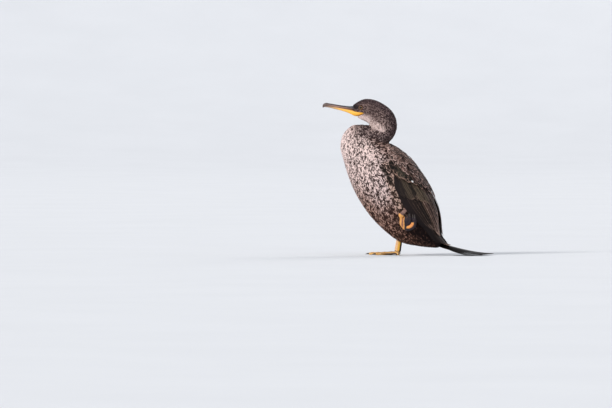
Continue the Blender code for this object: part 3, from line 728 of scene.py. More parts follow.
# where its rows run on the body (t) and how far round, from the back (0) to the belly (1); its size at both
# ends; spacing along and round, length and width in mm; and how far the tips stand off
fineBreast = {"part": "torso", "row": 2.9, "gap": 2.1, "length": 9.5, "width": 3.5, "flank": (0.34, 1.0),
              "stand": 0.5, "shape": "soft", "look": "breast"}
fineHead = {"part": "neck", "flank": (0.0, 1.0), "shape": "fine", "look": "head"}
coatPlan = {
    "coatBulge": {**fineBreast, "t": (9.6, 12.97), "size": (0.92, 0.62)},
    "coatBreast": {**fineBreast, "t": (7.4, 9.6), "size": (1.0, 0.92)},
    "coatMiddle": {**fineBreast, "t": (5.7, 7.4), "size": (1.05, 1.0)},
    "coatBelly": {**fineBreast, "t": (3.6, 5.7), "size": (1.15, 1.05)},
    "coatVent": {**fineBreast, "t": (0.15, 3.6), "size": (1.35, 1.15)},
    "coatBack": {"part": "torso", "t": (0.2, 12.4), "size": (1.1, 0.7), "row": 4.4, "gap": 4.3, "length": 13,
                 "width": 6.6, "flank": (0.0, 0.34), "stand": 0.6, "shape": "round", "look": "back"},
    "coatNeck": {**fineHead, "t": (1.0, 5.6), "size": (1.15, 1.0), "row": 1.55, "gap": 1.4, "length": 5.6,
                 "width": 2.1, "stand": 0.3},
    "coatHead": {**fineHead, "t": (5.6, 11.0), "size": (1.0, 0.72), "row": 1.35, "gap": 1.15, "length": 4.6,
                 "width": 1.7, "stand": 0.15},
}
coatLooks = {
    # name: its material, how softly pale and dark part, how dark the shaft and the spots at the tips are
    "breast": ("breastFeathers", 0.14, 0.10, 0.95),
    "back": ("backFeathers", 0.20, 0.5, 0.5),
    "head": ("headFeathers", 0.24, 0.0, 0.4),
}
# a folded wing lies over these stations and angles from the back, so no coat is needed there
wingShade = {"t": (0.2, 6.6), "angle": (16, 62)}
# a root is left out where it is sunk or proud of the skin (in mm; deeper in the crease under the throat),
# near an eye's lid (in lid radii, at its root and further on), or in the bill, and where its path is drawn
# out or turns as it jumps from one surface to another
coatLimits = {"crease": (0.6, 0.14, 6.0), "sunk": 1.2, "proud": 1.5, "lid": (0.74, 0.98), "bill": 0.3,
              "face": -0.65, "drawnOut": 1.6, "turned": 0.7, "head": 0.8}
# how unevenly roots stand along and round, how feathers vary in size, how they sway and curl, how they rise
# from root to tip, and the patch of the skin's map that each takes its baked colours from
coatLay = {"uneven": (0.12, 0.012), "sizes": (0.85, 1.15), "sway": 0.10 / 8, "curl": 0.6, "places": 5,
           "rise": (0.04, 0.96, 0.85), "patch": (0.003, 0.003)}


def skinSampler(skin):
    # finds the skin near a point: its place, its smooth normal and its spot on the unwrap
    mesh = skin.data
    points, normals = meshForm(mesh)
    spots = np.zeros((len(points), 2))
    corner = np.zeros(len(mesh.loops), np.int32)
    mesh.loops.foreach_get("vertex_index", corner)
    uv = np.zeros(len(mesh.loops) * 2, np.float32)
    mesh.uv_layers["OFBake"].data.foreach_get("uv", uv)
    spots[corner] = uv.reshape(-1, 2)
    net = netOf(points)

    def sample(where):
        flat = where.reshape(-1, 3)
        found = np.array([net.find(p)[1] for p in flat])
        height = np.sum((flat - points[found]) * normals[found], -1)
        foot = flat - normals[found] * height[:, None]
        return (foot.reshape(where.shape), normals[found].reshape(where.shape),
                height.reshape(where.shape[:-1]), spots[found].reshape(*where.shape[:-1], 2))
    return sample


def coatRoots(plan):
    # staggered rows over a part of the body, thinned where its sections crowd together
    part, ends = plan["part"], plan["t"]
    fine = np.linspace(*ends, 400)
    size = np.interp(fine, ends, plan["size"])
    runs = [np.linalg.norm(np.diff(bodyPoint(part, fine, np.full_like(fine, turn)), axis=0), axis=1)
            for turn in (0, math.pi * 0.6, math.pi)]
    far = np.concatenate([[0], np.cumsum(np.max(runs, 0) / size[1:])])
    places = np.interp(np.arange(0, far[-1], plan["row"] * mm), far, fine)
    ring, spots = np.linspace(0, math.pi, 120), []
    for number, t in enumerate(places):
        arc = bodyPoint(part, np.full_like(ring, t), ring)
        length = np.concatenate([[0], np.cumsum(np.linalg.norm(np.diff(arc, axis=0), axis=1))])
        some = max(2, round(length[-1] / (plan["gap"] * np.interp(t, ends, plan["size"]) * mm)))
        at = (np.arange(some) + 0.5 * (number % 2)) / some * length[-1]
        for side in (-1, 1):
            angles = np.interp(at, length, ring) * side
            spots.append(np.stack([np.full_like(angles, t), angles], -1))
    t, angle = np.concatenate(spots).T
    gap = np.interp(t, places[:-1], np.diff(places))
    along, aside = coatLay["uneven"]
    t, angle = t + draws.normal(0, along, len(t)) * gap, jitter(angle, aside)
    local = np.linalg.norm(bodyPoint(part, t + gap / 2, angle) - bodyPoint(part, t - gap / 2, angle), axis=-1)
    size = np.interp(t, ends, plan["size"])
    flank = jitter(np.abs(angle) / math.pi, aside)
    keep = draws.random(len(t)) < local / (plan["row"] * size * mm)
    keep &= (flank >= plan["flank"][0]) & (flank <= plan["flank"][1])
    if part == "torso":
        turn = np.degrees(np.abs(angle))
        (low, high), (near, wide) = wingShade["t"], wingShade["angle"]
        keep &= ~((t > low) & (t < high) & (turn > near) & (turn < wide))
    return t[keep], angle[keep], size[keep]


def layCoat(name, plan, look):
    # each feather runs back over the skin from its root
    part = plan["part"]
    t, angle, size = coatRoots(plan)
    nudge = 0.01
    rate = np.linalg.norm(bodyPoint(part, t - nudge, angle) - bodyPoint(part, t, angle), axis=-1) / nudge
    length = plan["length"] * size * mm * draws.uniform(*coatLay["sizes"], len(t))
    places = np.linspace(0, 1, coatLay["places"])
    sway = draws.normal(0, coatLay["sway"], len(t)) * length / (plan["width"] * mm)
    pathT = t[:, None] - (length / np.maximum(rate, 1e-4))[:, None] * places
    pathA = angle[:, None] + sway[:, None] * places * coatLay["curl"]
    foot, normal, height, spot = sample(bodyPoint(part, pathT, pathA))
    station = stationOf(part, t)
    depth = coatDepth(station)
    # sunk and proud roots, and those near a lid or in the bill, are left out
    crease, reach, sunk = coatLimits["crease"]
    sunk = np.where(np.abs(station - crease) < reach, sunk, coatLimits["sunk"]) * mm
    shown = (height[:, 0] > -sunk) & (height[:, 0] < 3 * depth + coatLimits["proud"] * mm)
    for eye in eyeSpots:
        near = np.linalg.norm(foot - eye, axis=-1) / (eyePlan["lidRadius"] * mm)
        shown &= (near[:, 0] > coatLimits["lid"][0]) & (near[:, 1:] > coatLimits["lid"][1]).all(1)
    if part == "neck":
        raised = foot + normal * coatLimits["bill"] * mm
        shown &= ~insideBill(raised.reshape(-1, 3)).reshape(len(t), -1).any(1)
        shown &= normal[:, 0, 0] > coatLimits["face"]
        gaps = np.linalg.norm(np.diff(foot, axis=1), axis=-1) / (length[:, None] / (len(places) - 1))
        turned = np.sum(normal[:, 1:] * normal[:, :-1], -1).min(1)
        smooth = (gaps.max(1) < coatLimits["drawnOut"]) & (turned > coatLimits["turned"])
        shown &= smooth | (station < coatLimits["head"])
    # the tips lie on the next feathers
    low, more, power = coatLay["rise"]
    rise = depth[:, None] * (low + more * places ** power)
    rise = rise + plan["stand"] * mm * draws.random(len(t))[:, None] * places
    line = foot + normal * rise[..., None]
    count = shown.sum()
    marks = {"station": station[shown], "flank": (np.abs(angle) / math.pi)[shown],
             "seed": draws.random(count), "spot": draws.random(count)}
    width = plan["width"] * size[shown] * mm * draws.uniform(*coatLay["sizes"], count)
    patch = (spot[shown][:, 0], coatLay["patch"])
    makeVanes(name, line[shown], normal[shown], width, plan["shape"], marks, patch, look)


# wings

# the lower edge of the folded wing, as body station and angle from the back in degrees
wingEdge = np.array(((-0.7, 58), (0.7, 68), (2.2, 77), (3.9, 79), (4.9, 73), (6.0, 57), (6.9, 46), (7.9, 33)))
# every pair of values runs from the feather at the wing's lower edge to the one nearest the back: where
# they stand between back (0) and lower edge (1), the stations of root and tip, and how much is in shade
wingTiers = {
    "primaries": {"count": 6, "share": (1.0, 0.62), "root": (3.3, 3.5), "tip": (0.2, -0.6), "width": 12,
                  "lift": 2.2, "shape": "flight", "look": "flight", "dusk": (1.2, 0.7)},
    "secondaries": {"count": 10, "share": (1.0, 0.30), "root": (4.9, 4.6), "tip": (1.9, 0.75), "width": 12,
                    "lift": 3.3, "shape": "flight", "look": "flight", "dusk": (1.3, -1.6)},
    "tertials": {"count": 5, "share": (0.50, 0.15), "root": (4.7, 4.2), "tip": (0.9, 1.9), "width": 12,
                 "lift": 4.6, "shape": "flight", "look": "tertial", "dusk": (0.1, 0.3)},
    "greaterCoverts": {"count": 16, "share": (1.0, 0.40), "root": (5.5, 4.3), "tip": (4.35, 3.0), "width": 9,
                       "lift": 4.3, "shape": "covert", "look": "covert", "dusk": (1.0, -0.5)},
    "medianCoverts": {"count": 8, "share": (1.0, 0.38), "root": (6.5, 5.0), "tip": (5.7, 4.05), "width": 13,
                      "lift": 4.9, "shape": "covert", "look": "median", "dusk": (0.4, 0.0)},
}
# small feathers in slanting rows over the rest of the wing, up to the neck: where a row starts and how it
# slants, how unevenly they stand, and how long they are. Pairs of lists are places and the values there,
# between back (0) and lower edge (1) or by station: how far up the rows go, how wide and how lifted the
# feathers are, and how much they are in shade. Last, where they get small and where they turn pale.
cape = {
    "start": 2.95, "slope": 3.6, "rows": 17, "step": 0.28, "first": 0.03, "gap": 6.6 / 62, "reach": 0.66,
    "uneven": {"share": 0.022, "tip": 0.09, "dusk": 0.1, "pale": 0.12}, "sizes": (0.80, 1.16),
    "top": ((0.3, 0.7), (7.3, 7.9)), "width": ((0.2, 1.0), (10.5, 7.2)), "lift": ((5.6, 7.3), (5.4, 2.6)),
    "flat": ((0, 0.2), (0.62, 1)), "shade": ((0.0, 0.10, 0.36, 0.44, 0.52), (0.75, 0.0, 0.0, 0.60, 0.0)),
    "small": (4.0, 7.0), "pale": 0.52,
}
# a stray white tip among the coverts, as on the bird's left wing
strayTip = {"root": 4.86, "tip": 4.58, "share": 0.55, "lift": 6.2, "width": 4.5, "dusk": -1.0}
fringes = {
    # name: colours of the middle, its dark parts and the fringe, where the fringe starts, how strong it is,
    # roughness, how streaky the middle is and how mottled
    "flight": (((0.08, 0.05, 0.034), (0.01, 0.006, 0.005), (0.34, 0.22, 0.17)), 0.68, 0.85, 0.5, 0.6, 0.04),
    "tertial": (((0.1, 0.059, 0.045), (0.016, 0.009, 0.008), (0.56, 0.36, 0.295)), 0.5, 0.9, 0.55, 0.7, 0.16),
    "covert": (((0.145, 0.106, 0.07), (0.012, 0.009, 0.007), (0.4, 0.255, 0.195)), 0.66, 0.6, 0.5, 0.85, 0.1),
    "median": (((0.052, 0.044, 0.031), (0.005, 0.005, 0.004), (0.58, 0.36, 0.275)), 0.48, 1, 0.45, 0.6, 0.2),
    "scapular": (((0.115, 0.067, 0.054), (0.009, 0.005, 0.005), (0.66, 0.42, 0.355)), 0.52, 0.9, 0.7, 0.5,
                 0.32),
    "lesser": (((0.175, 0.102, 0.084), (0.01, 0.006, 0.005), (0.94, 0.65, 0.57)), 0.42, 1, 0.7, 0.35, 0.5),
    "rump": (((0.036, 0.022, 0.018), (0.012, 0.007, 0.006), (0.66, 0.4, 0.28)), 0.7, 0.85, 0.6, 0.5, 0.15),
    "tail": (((0.014, 0.01, 0.009), (0.007, 0.005, 0.005), (0.07, 0.05, 0.042)), 0.97, 0.4, 0.5, 0.5, 0.0),
}


def foldedTier(side, root, tip, share, lift):
    # feathers that follow the wing's outline from root to tip, each lower edge over the next one down
    s = np.linspace(0, 1, 9)[None]
    t = root[:, None] + (tip - root)[:, None] * s
    edge = np.interp(t, wingEdge[:, 0], wingEdge[:, 1])
    angle = np.radians(3 + (edge - 3) * share[:, None]) * side
    out = bodyOut("torso", t, angle)
    height = 0.8 + (lift - 0.8) * np.minimum(1, 1.6 * s) ** 0.8 + 0 * t
    line = bodyPoint("torso", t, angle) + out * height[..., None] * mm
    across = unit(np.cross(unit(np.gradient(line, axis=1)), out))
    down = np.where(np.sum(across * (0, 0, -1), -1, keepdims=True) < 0, -1, 1) * across
    return line, unit(out - down * 0.10)


def layWing(side, node):
    # all feathers of a wing, gathered by look and shape: lines, ways out, widths and shade
    groups, uneven = {}, cape["uneven"]
    for plan in wingTiers.values():
        count = plan["count"]
        root, tip, share, dusk = (np.linspace(*plan[key], count) for key in ("root", "tip", "share", "dusk"))
        line, out = foldedTier(side, root, jitter(tip, 0.06), jitter(share, 0.008), plan["lift"])
        width = plan["width"] * draws.uniform(0.92, 1.08, count)
        groups.setdefault((plan["look"], plan["shape"]), []).append((line, out, width, np.clip(dusk, 0, 1)))
    for row in range(cape["rows"]):
        share = np.arange(cape["first"] + cape["first"] * (row % 2), 1.0, cape["gap"])
        share = np.clip(jitter(share, uneven["share"]), 0.02, 1.0)
        tip = jitter(cape["start"] + cape["slope"] * share + cape["step"] * row, uneven["tip"])
        kept = tip < np.interp(share, *cape["top"])
        share, tip = share[kept], tip[kept]
        small = np.clip((tip - cape["small"][0]) / np.diff(cape["small"]), 0, 1)
        root = tip + cape["reach"] * (1 - 0.3 * small)
        width = np.interp(share + small * 0.4, *cape["width"]) * draws.uniform(*cape["sizes"], len(tip))
        lift = np.interp(tip, *cape["lift"]) * np.interp(share, *cape["flat"])
        lift = lift + 0.5 * draws.random(len(tip))
        line, out = foldedTier(side, root, tip, share, lift[:, None])
        dusk = np.clip(jitter(np.interp(share, *cape["shade"]), uneven["dusk"]), 0, 1)
        pale = jitter(share + small * 0.08, uneven["pale"]) > cape["pale"]
        for look, some in (("scapular", ~pale), ("lesser", pale)):
            groups.setdefault((look, "covert"), []).append((line[some], out[some], width[some], dusk[some]))
    if side < 0:
        root, tip, share, lift, width, dusk = (np.array([value]) for value in strayTip.values())
        groups["covert", "covert"].append((*foldedTier(side, root, tip, share, lift), width, dusk))
    for (look, shape), tiers in groups.items():
        line, out, width, dusk = (np.concatenate(parts) for parts in zip(*tiers))
        layVanes(f"{node}_{look}_{shape}", line, out, width, shape, dusk, vaneLooks[look], node, 24)


# tail

# root of the tail, feathers on each side, and how they fan over the floor, as in the solids
tailPlan = {"root": (92, 24), "feathers": 6, "middle": 120, "side": 100, "width": 13, "slit": 7, "fan": 27,
            "stack": 0.7, "droop": 1.7, "start": 0.02, "lift": 0.45}
# short feathers over and under its root: how far above it they lie, and how far their rows reach
tailCoverts = {"rows": ((3.2, (27, 18, 9)), (-2.8, (30, 20, 11))), "turns": (-27, 27), "each": 8, "back": 12,
               "width": 8.5, "step": 0.8, "uneven": {"turn": 2, "reach": 1.5}}


def tailLine(along, length, turn, lift):
    x, z = tailPlan["root"]
    height = z * (1 - along / length) ** tailPlan["droop"] + lift
    return np.stack([x + along * math.cos(turn), along * math.sin(turn), height], -1)


def layTailVanes(name, lines, widths, shape, look):
    line = np.array(lines) * mm
    ahead = unit(np.gradient(line, axis=1))
    out = unit(np.cross(ahead, np.cross((0, 0, 1.0), ahead)))
    dusk = np.zeros(len(line))
    layVanes(name, line, out, np.array(widths), shape, dusk, vaneLooks[look], "tail", len(line))


def layTail():
    s = np.linspace(0, 1, 15)
    last, stack, middle = tailPlan["feathers"] - 1, tailPlan["stack"], tailPlan["middle"]
    back, uneven, coverts, widths = tailCoverts["back"], tailCoverts["uneven"], [], []
    for above, reaches in tailCoverts["rows"]:
        for row, reach in enumerate(reaches):
            turns = jitter(np.linspace(*tailCoverts["turns"], tailCoverts["each"]), uneven["turn"])
            for turn in np.radians(turns):
                along = -back + (reach + back + draws.normal(0, uneven["reach"])) * s
                rest = stack * last if above > 0 else 0
                lift = rest + above + row * tailCoverts["step"] * np.sign(above)
                coverts.append(tailLine(along, middle, turn, lift))
                widths.append(tailCoverts["width"] - row)
    layTailVanes("tailCoverts", coverts, widths, "covert", "rump")
    feathers = []
    for side in (-1, 1):
        for k in range(tailPlan["feathers"]):
            share = k / last
            turn = math.radians(side * (tailPlan["slit"] + (tailPlan["fan"] - tailPlan["slit"]) * share))
            length = middle + (tailPlan["side"] - middle) * share**2
            along = length * (tailPlan["start"] + (1 - tailPlan["start"]) * s)
            feathers.append(tailLine(along, length, turn, stack * (last - k) + tailPlan["lift"]))
    layTailVanes("tailFeathers", feathers, [tailPlan["width"]] * len(feathers), "flight", "tail")


# bill and eyes

def ridge(value, middle, width):
    return np.exp(-((value - middle) / width) ** 2)


def upperRelief(x, high):
    # a groove between ridge and side, a swollen cutting edge, the nail at the tip and the seam behind it
    reach = np.clip((-x - 96) / 6, 0, 1) * np.clip((x + 156) / 5, 0, 1)
    relief = -0.42 * ridge(high, 0.62, 0.10) * reach + 0.10 * ridge(high, 0.12, 0.10) * reach
    return relief + 0.25 * ridge(x, -157, 4) - 0.15 * ridge(x + high * 3, -149.5, 0.8)


def lowerRelief(x, high):
    # a groove in the horn, and wrinkles in the bare skin behind it
    horn = np.clip((-x - 100) / 5, 0, 1)
    groove = -0.25 * ridge(high, 0.45, 0.12) * horn * np.clip((x + 156) / 5, 0, 1)
    return groove + 0.10 * np.sin(x * 2.3 + np.sin(high * 9) * 1.2) * (1 - horn) * (high < 0.9)


# rows: x, top z and bottom z in mm, to place grooves and colours between edge and ridge; run: how far in
# front the tones of the lower and the upper part begin and end; parting: where the upper part starts, and
# how streaky that line is
billHalves = {
    "billUpper": {
        "node": "bill_upper", "material": "upperBill", "relief": upperRelief,
        "rows": ((-84, 318, 310.6), (-98, 320.2, 311.6), (-107, 319.9, 313.0), (-122, 321.6, 315.4),
                 (-138, 324.0, 318.0), (-151, 326.2, 319.8), (-158, 327.0, 319.9), (-165.4, 322.4, 316.2)),
        "run": (0.085, 0.165), "parting": (0.42, 0.66), "streaks": 0.25,
        "low": ((0.0, (0.060, 0.045, 0.052)), (0.25, (0.26, 0.15, 0.125)), (0.7, (0.42, 0.25, 0.19)),
                (0.9, (0.26, 0.165, 0.135)), (1.0, (0.13, 0.090, 0.078))),
        "high": ((0.0, (0.018, 0.018, 0.026)), (0.35, (0.036, 0.031, 0.040)), (0.8, (0.075, 0.054, 0.054)),
                 (1.0, (0.105, 0.074, 0.066))),
    },
    "billLower": {
        "node": "bill_lower", "material": "lowerBill", "relief": lowerRelief,
        "rows": ((-64, 306.4, 304.6), (-72, 307.8, 302.4), (-81, 309.2, 299.4), (-92, 311.3, 298.2),
                 (-99, 312.4, 301.0), (-107, 313.8, 305.0), (-122, 316.3, 309.8), (-138, 319.0, 313.7),
                 (-151, 320.8, 316.9), (-160.4, 320.4, 318.1)),
        "run": (0.062, 0.162), "parting": (0.62, 0.92), "streaks": 0.3,
        "low": ((0.0, (0.92, 0.42, 0.030)), (0.40, (0.94, 0.48, 0.060)), (0.74, (0.86, 0.48, 0.13)),
                (0.90, (0.52, 0.31, 0.16)), (1.0, (0.23, 0.145, 0.11))),
        "high": ((0.0, (0.84, 0.38, 0.045)), (0.40, (0.60, 0.30, 0.11)), (0.8, (0.38, 0.21, 0.14)),
                 (1.0, (0.16, 0.105, 0.090))),
    },
}
# how the bill's mesh is made, and how near it a point counts as inside or beside it, in mm
billMesh = {"voxel": 0.42, "smoothing": 9, "inside": 6, "beside": 0.8}


def billLook(half):
    look = Look(half["material"], Roughness=0.48, Specular_IOR_Level=0.35)
    x, _, _ = look.axes()
    fine = look.noise(700.0) - 0.5
    streak = look.noise(1.0, 3.0, look.stretch((120.0, 500.0, 1600.0))) - 0.5
    away = (x * -1.0 + fine * 0.004).step(*half["run"])
    parting = (look.mark("high") + streak * half["streaks"]).step(*half["parting"])
    colour = look.mix(parting, look.ramp(away, half["low"]), look.ramp(away, half["high"]))
    grime = (fine + streak * 0.5).step(0.0, 0.5, 0.0, 0.45)
    look.feed("Base Color", look.mix(grime, colour, darker(look, colour, (0.5, 0.42, 0.40))))
    look.bump(streak + fine * 0.6, 0.35, 0.25 * mm)
    return look


def buildBill():
    for name, half in billHalves.items():
        mesh = remeshed(name, solids(half["node"]), billMesh["voxel"] * mm, billMesh["smoothing"])
        points, normals = meshForm(mesh)
        along, tops, bottoms = np.array(half["rows"]).T
        x = points[:, 0] / mm
        top, bottom = (np.interp(-x, -along, values) for values in (tops, bottoms))
        high = (points[:, 2] / mm - bottom) / np.maximum(top - bottom, 0.5)
        setPoints(mesh, points + normals * (half["relief"](x, high) * mm)[:, None])
        addMark(mesh, "high", high)
        unwrap(addObject(name, mesh, billLook(half), (half["node"],)))


def billTester():
    # tells which points lie inside the bill and its bare skin, or just behind their edge
    forms = [meshForm(bpy.data.objects[name].data) for name in billHalves]
    points, normals = (np.concatenate(values) for values in zip(*forms))
    net = netOf(points)

    def inside(where):
        found = [net.find(p) for p in where]
        k, far = np.array([f[1] for f in found]), np.array([f[2] for f in found])
        within = np.sum((where - points[k]) * normals[k], -1) < 0
        return (within & (far < billMesh["inside"] * mm)) | (far < billMesh["beside"] * mm)
    return inside


# the lid is a beaded ring of bare skin round the eye, a little pointed fore and aft; then how much the eye
# turns with the skin beside it, and the share of the ball that the iris takes up
eyePlan = {"lidRadius": 4.3, "lidThick": 0.62, "beads": 26, "bead": 0.12, "out": 0.35, "turns": 156,
           "sides": 16, "inner": 0.86, "pointed": 0.10, "low": 0.92, "flat": 0.8, "aside": 0.03,
           "facing": (0.5, 0.4), "iris": 0.62}


def eyeLooks():
    eye = Look("eyeball", Roughness=0.12, Specular_IOR_Level=0.3, Coat_Weight=0.15, Coat_Roughness=0.05)
    away = eye.mark("away")
    iris = eye.mix(eye.noise(1400.0), (0.008, 0.013, 0.009), (0.024, 0.032, 0.018))
    colour = eye.mix(away.step(0.50, 0.56), (0.004, 0.004, 0.005), iris)
    eye.feed("Base Color", eye.mix(away.step(0.76, 0.86), colour, (0.012, 0.010, 0.010)))
    lid = Look("eyelid", Roughness=0.6)
    tint = lid.noise(900.0)
    lid.feed("Base Color", lid.mix(tint.step(0.35, 0.65), (0.11, 0.055, 0.036), (0.46, 0.20, 0.065)))
    lid.bump(tint, 0.4, 0.3 * mm)
    return eye, lid


def buildLid(name, middle, out, radius, look):
    lid = eyePlan["lidRadius"] * mm
    rise = math.sqrt(max(radius**2 - (lid * eyePlan["inner"]) ** 2, 0))
    side = Vector((0, 0, 1)).cross(out).normalized()
    up = out.cross(side)
    heart = Vector(middle) + out * (rise + eyePlan["out"] * mm)
    turns, sides, points = eyePlan["turns"], eyePlan["sides"], []
    for i in range(turns):
        a = 2 * math.pi * i / turns
        reach = lid * (1 + eyePlan["pointed"] * math.cos(a) ** 4)
        spoke = side * math.cos(a) + up * math.sin(a) * eyePlan["low"]
        centre = heart + spoke * reach * eyePlan["inner"]
        thick = eyePlan["lidThick"] * mm * (1 + eyePlan["bead"] * math.cos(eyePlan["beads"] * a))
        for k in range(sides):
            b = 2 * math.pi * k / sides
            points.append(centre + (spoke * math.cos(b) + out * math.sin(b) * eyePlan["flat"]) * thick)
    unwrap(addObject(name, meshFrom(name, points, ringFaces(turns, sides, closed=True)), look))
    return np.array(heart)


def buildEyes():
    ballLook, lidLook = eyeLooks()
    spots = []
    for name, side in (("eye_left", -1), ("eye_right", 1)):
        low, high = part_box(name)
        middle, radius = (low + high) / 2, (high.x - low.x) / 2
        _, (normal,), _, _ = sample(np.array([(middle.x, side * eyePlan["aside"], middle.z)]))
        ahead, above = eyePlan["facing"]
        out = Vector(unit(np.array([normal[0] * ahead, side, normal[2] * above])))
        mesh = meshFrom(name + "Ball", *ball(radius, 48, 32))
        turn = out.to_track_quat("Z", "Y").to_matrix().to_4x4()
        turn.translation = middle
        mesh.transform(turn)
        points = meshForm(mesh)[0] - np.array(middle)
        flat = points - np.outer(points @ np.array(out), np.array(out))
        addMark(mesh, "away", np.linalg.norm(flat, axis=1) / (eyePlan["iris"] * radius))
        unwrap(addObject(name + "Ball", mesh, ballLook, (name,)))
        spots.append(buildLid(name + "Lid", middle, out, radius, lidLook))
    return spots


skin = buildSkin()
sample = skinSampler(skin)
buildBill()
insideBill = billTester()
eyeSpots = buildEyes()
print("bill and eyes made")
coatMaterials = {key: bodyFeatherLook(*values) for key, values in coatLooks.items()}
for name, plan in coatPlan.items():
    layCoat(name, plan, coatMaterials[plan["look"]])
print("coat laid")
vaneLooks = {key: fringedLook(key + "Feathers", *values) for key, values in fringes.items()}
for side, node in ((-1, "wing_left"), (1, "wing_right")):
    layWing(side, node)
print("wings laid")
layTail()
print("tail laid")


# legs and feet

feet = {
    # turn and length of each toe, their radius, taper and knuckles, as in the solids
    "toes": ((-108, 28), (-24, 47), (2, 63), (25, 73)), "radius": 3.7, "taper": 0.30, "knuckle": 0.07,
    "joint": 17, "arch": 2.5, "sunk": 0.72, "pad": 6.0, "heel": (1.5, 0, 0), "lowest": 0.2,
    # the webs, and how the mesh is made
    "web": 0.55, "webReach": (0.04, 0.95), "webEdge": 0.14, "voxel": 0.5, "smoothing": 5,
    # the drawn up foot: its leg, the curl and the spread of its toes, and its folded webs
    "ankle": (24, -57, 87), "hock": (39, -50, 106), "straight": 0.2, "curl": 3.6, "curlRadius": 7,
    "lean": 0.3, "out": 9, "spread": 7, "inner": -0.5, "swing": 0.75, "slim": 0.66,
    "fold": (14, 5.4, 13), "foldShift": (0, 2, 4), "pleats": 7,
    # its colours: the toe that is orange and where along it, how far back and at which heights it is lit,
    # and the brown stripe down its shank (x, low end and high end in metres); its other toe parts get painted
    # shade
    "orangeToe": 2, "orange": ((0.47, 0.58, 0.80, 0.90), (0, 1, 1, 0)), "brightBack": ((30.0, 33.0), (1, 0)),
    "brightUp": ((53, 56, 90, 93), (0, 1, 1, 0)), "stripe": (0.0272, (0.058, 0.064), (0.078, 0.084)),
    # the standing leg
    "tarsus": (1.5, 0, 9), "top": (8, 11, 66), "depth": 7.2, "narrow": 0.61,
}


def standingToe(turn, length, s):
    a = math.radians(turn)
    height = feet["radius"] * feet["sunk"] + feet["arch"] * (1 - s) ** 2
    x, y, _ = feet["heel"]
    return np.stack([x - math.cos(a) * length * s, y + math.sin(a) * length * s, height], -1) * mm


def drawnUpToe(turn, length, s):
    spread = max(turn / 90, feet["inner"])
    radius = max(length * (1 - feet["straight"]) / feet["curl"], feet["curlRadius"])
    run = s * length
    straight = np.minimum(run, feet["straight"] * length)
    bend = (run - straight) / radius
    out = (feet["out"] + feet["spread"] * spread) * np.sin(feet["swing"] * math.pi * s)
    drop = straight + radius * np.sin(bend)
    back = radius * (1 - np.cos(bend))
    return (np.array(feet["ankle"]) + np.stack([back, feet["lean"] * drop - out, -drop], -1)) * mm


def toeRadius(s, length):
    joints = max(2, round(length / feet["joint"]))
    swell = feet["knuckle"] * np.cos(s * joints * 2 * math.pi)
    return feet["radius"] * (1 - feet["taper"] * s + swell) * mm


def ringTube(line, wide, deep, sides=20):
    # a closed tube with rounded ends; wide and deep are its half sizes along the line
    ahead = unit(np.gradient(line, axis=0))
    across = np.zeros_like(line)
    spoke = np.array((0.0, 1.0, 0.0)) if abs(ahead[0][1]) < 0.9 else np.array((1.0, 0.0, 0.0))
    for k, way in enumerate(ahead):
        spoke = unit(spoke - way * (spoke @ way))
        across[k] = spoke
    up = np.cross(across, ahead)
    a = np.arange(sides) * 2 * math.pi / sides
    ring = (line[:, None] + across[:, None] * np.cos(a)[None, :, None] * wide[:, None, None]
            + up[:, None] * np.sin(a)[None, :, None] * deep[:, None, None])
    ends = np.array([line[0] - ahead[0] * deep[0] * 0.7, line[-1] + ahead[-1] * deep[-1] * 0.7])
    faces = [(one, four, three, two) for one, two, three, four in ringFaces(len(line), sides)]
    first, last = len(line) * sides, (len(line) - 1) * sides
    for k in range(sides):
        n = (k + 1) % sides
        faces += [(first, n, k), (first + 1, last + k, last + n)]
    return np.concatenate([ring.reshape(-1, 3), ends]), faces


def webSheet(one, other, rows=26, columns=10):
    # a membrane from toe to toe whose outer edge hangs back between them
    points, faces = [], []
    for face in (1, -1):
        for share in np.linspace(*feet["webReach"], rows):
            for j in range(columns + 1):
                across = j / columns
                back = share * (1 - feet["webEdge"] * math.sin(across * math.pi) * share)
                a, b = one(np.array(back)), other(np.array(back))
                ahead = one(np.array(back + 0.02)) - a
                out = unit(np.cross(ahead, b - a))
                points.append(a * (1 - across) + b * across + out * face * feet["web"] * mm)
    wide = columns + 1
    size = rows * wide
    for i in range(rows - 1):
        for j in range(columns):
            a = i * wide + j
            faces.append((a, a + 1, a + wide + 1, a + wide))
            faces.append((size + a, size + a + wide, size + a + wide + 1, size + a + 1))
    rim = [i * wide for i in range(rows)] + [(rows - 1) * wide + j for j in range(1, wide)]
    rim += [i * wide + columns for i in range(rows - 2, -1, -1)] + list(range(columns - 1, 0, -1))
    faces += [(a, b, size + b, size + a) for a, b in zip(rim, rim[1:] + rim[:1])]
    return np.array(points), faces


def pleatedFold(toe):
    # the drawn up foot's webs, folded together inside the curl of its outer toe
    points, faces = ball(1, 72, 36)
    middle = toe(np.linspace(0, 1, 6)).mean(0) + np.array(feet["foldShift"]) * mm
    turn, reach = np.arctan2(points[:, 2], points[:, 0]), np.hypot(points[:, 0], points[:, 2])
    dent = 1 - 0.10 * (0.5 + 0.5 * np.cos(turn * feet["pleats"])) * reach
    return points * np.array(feet["fold"]) * mm * dent[:, None] * 0.94 + middle, faces


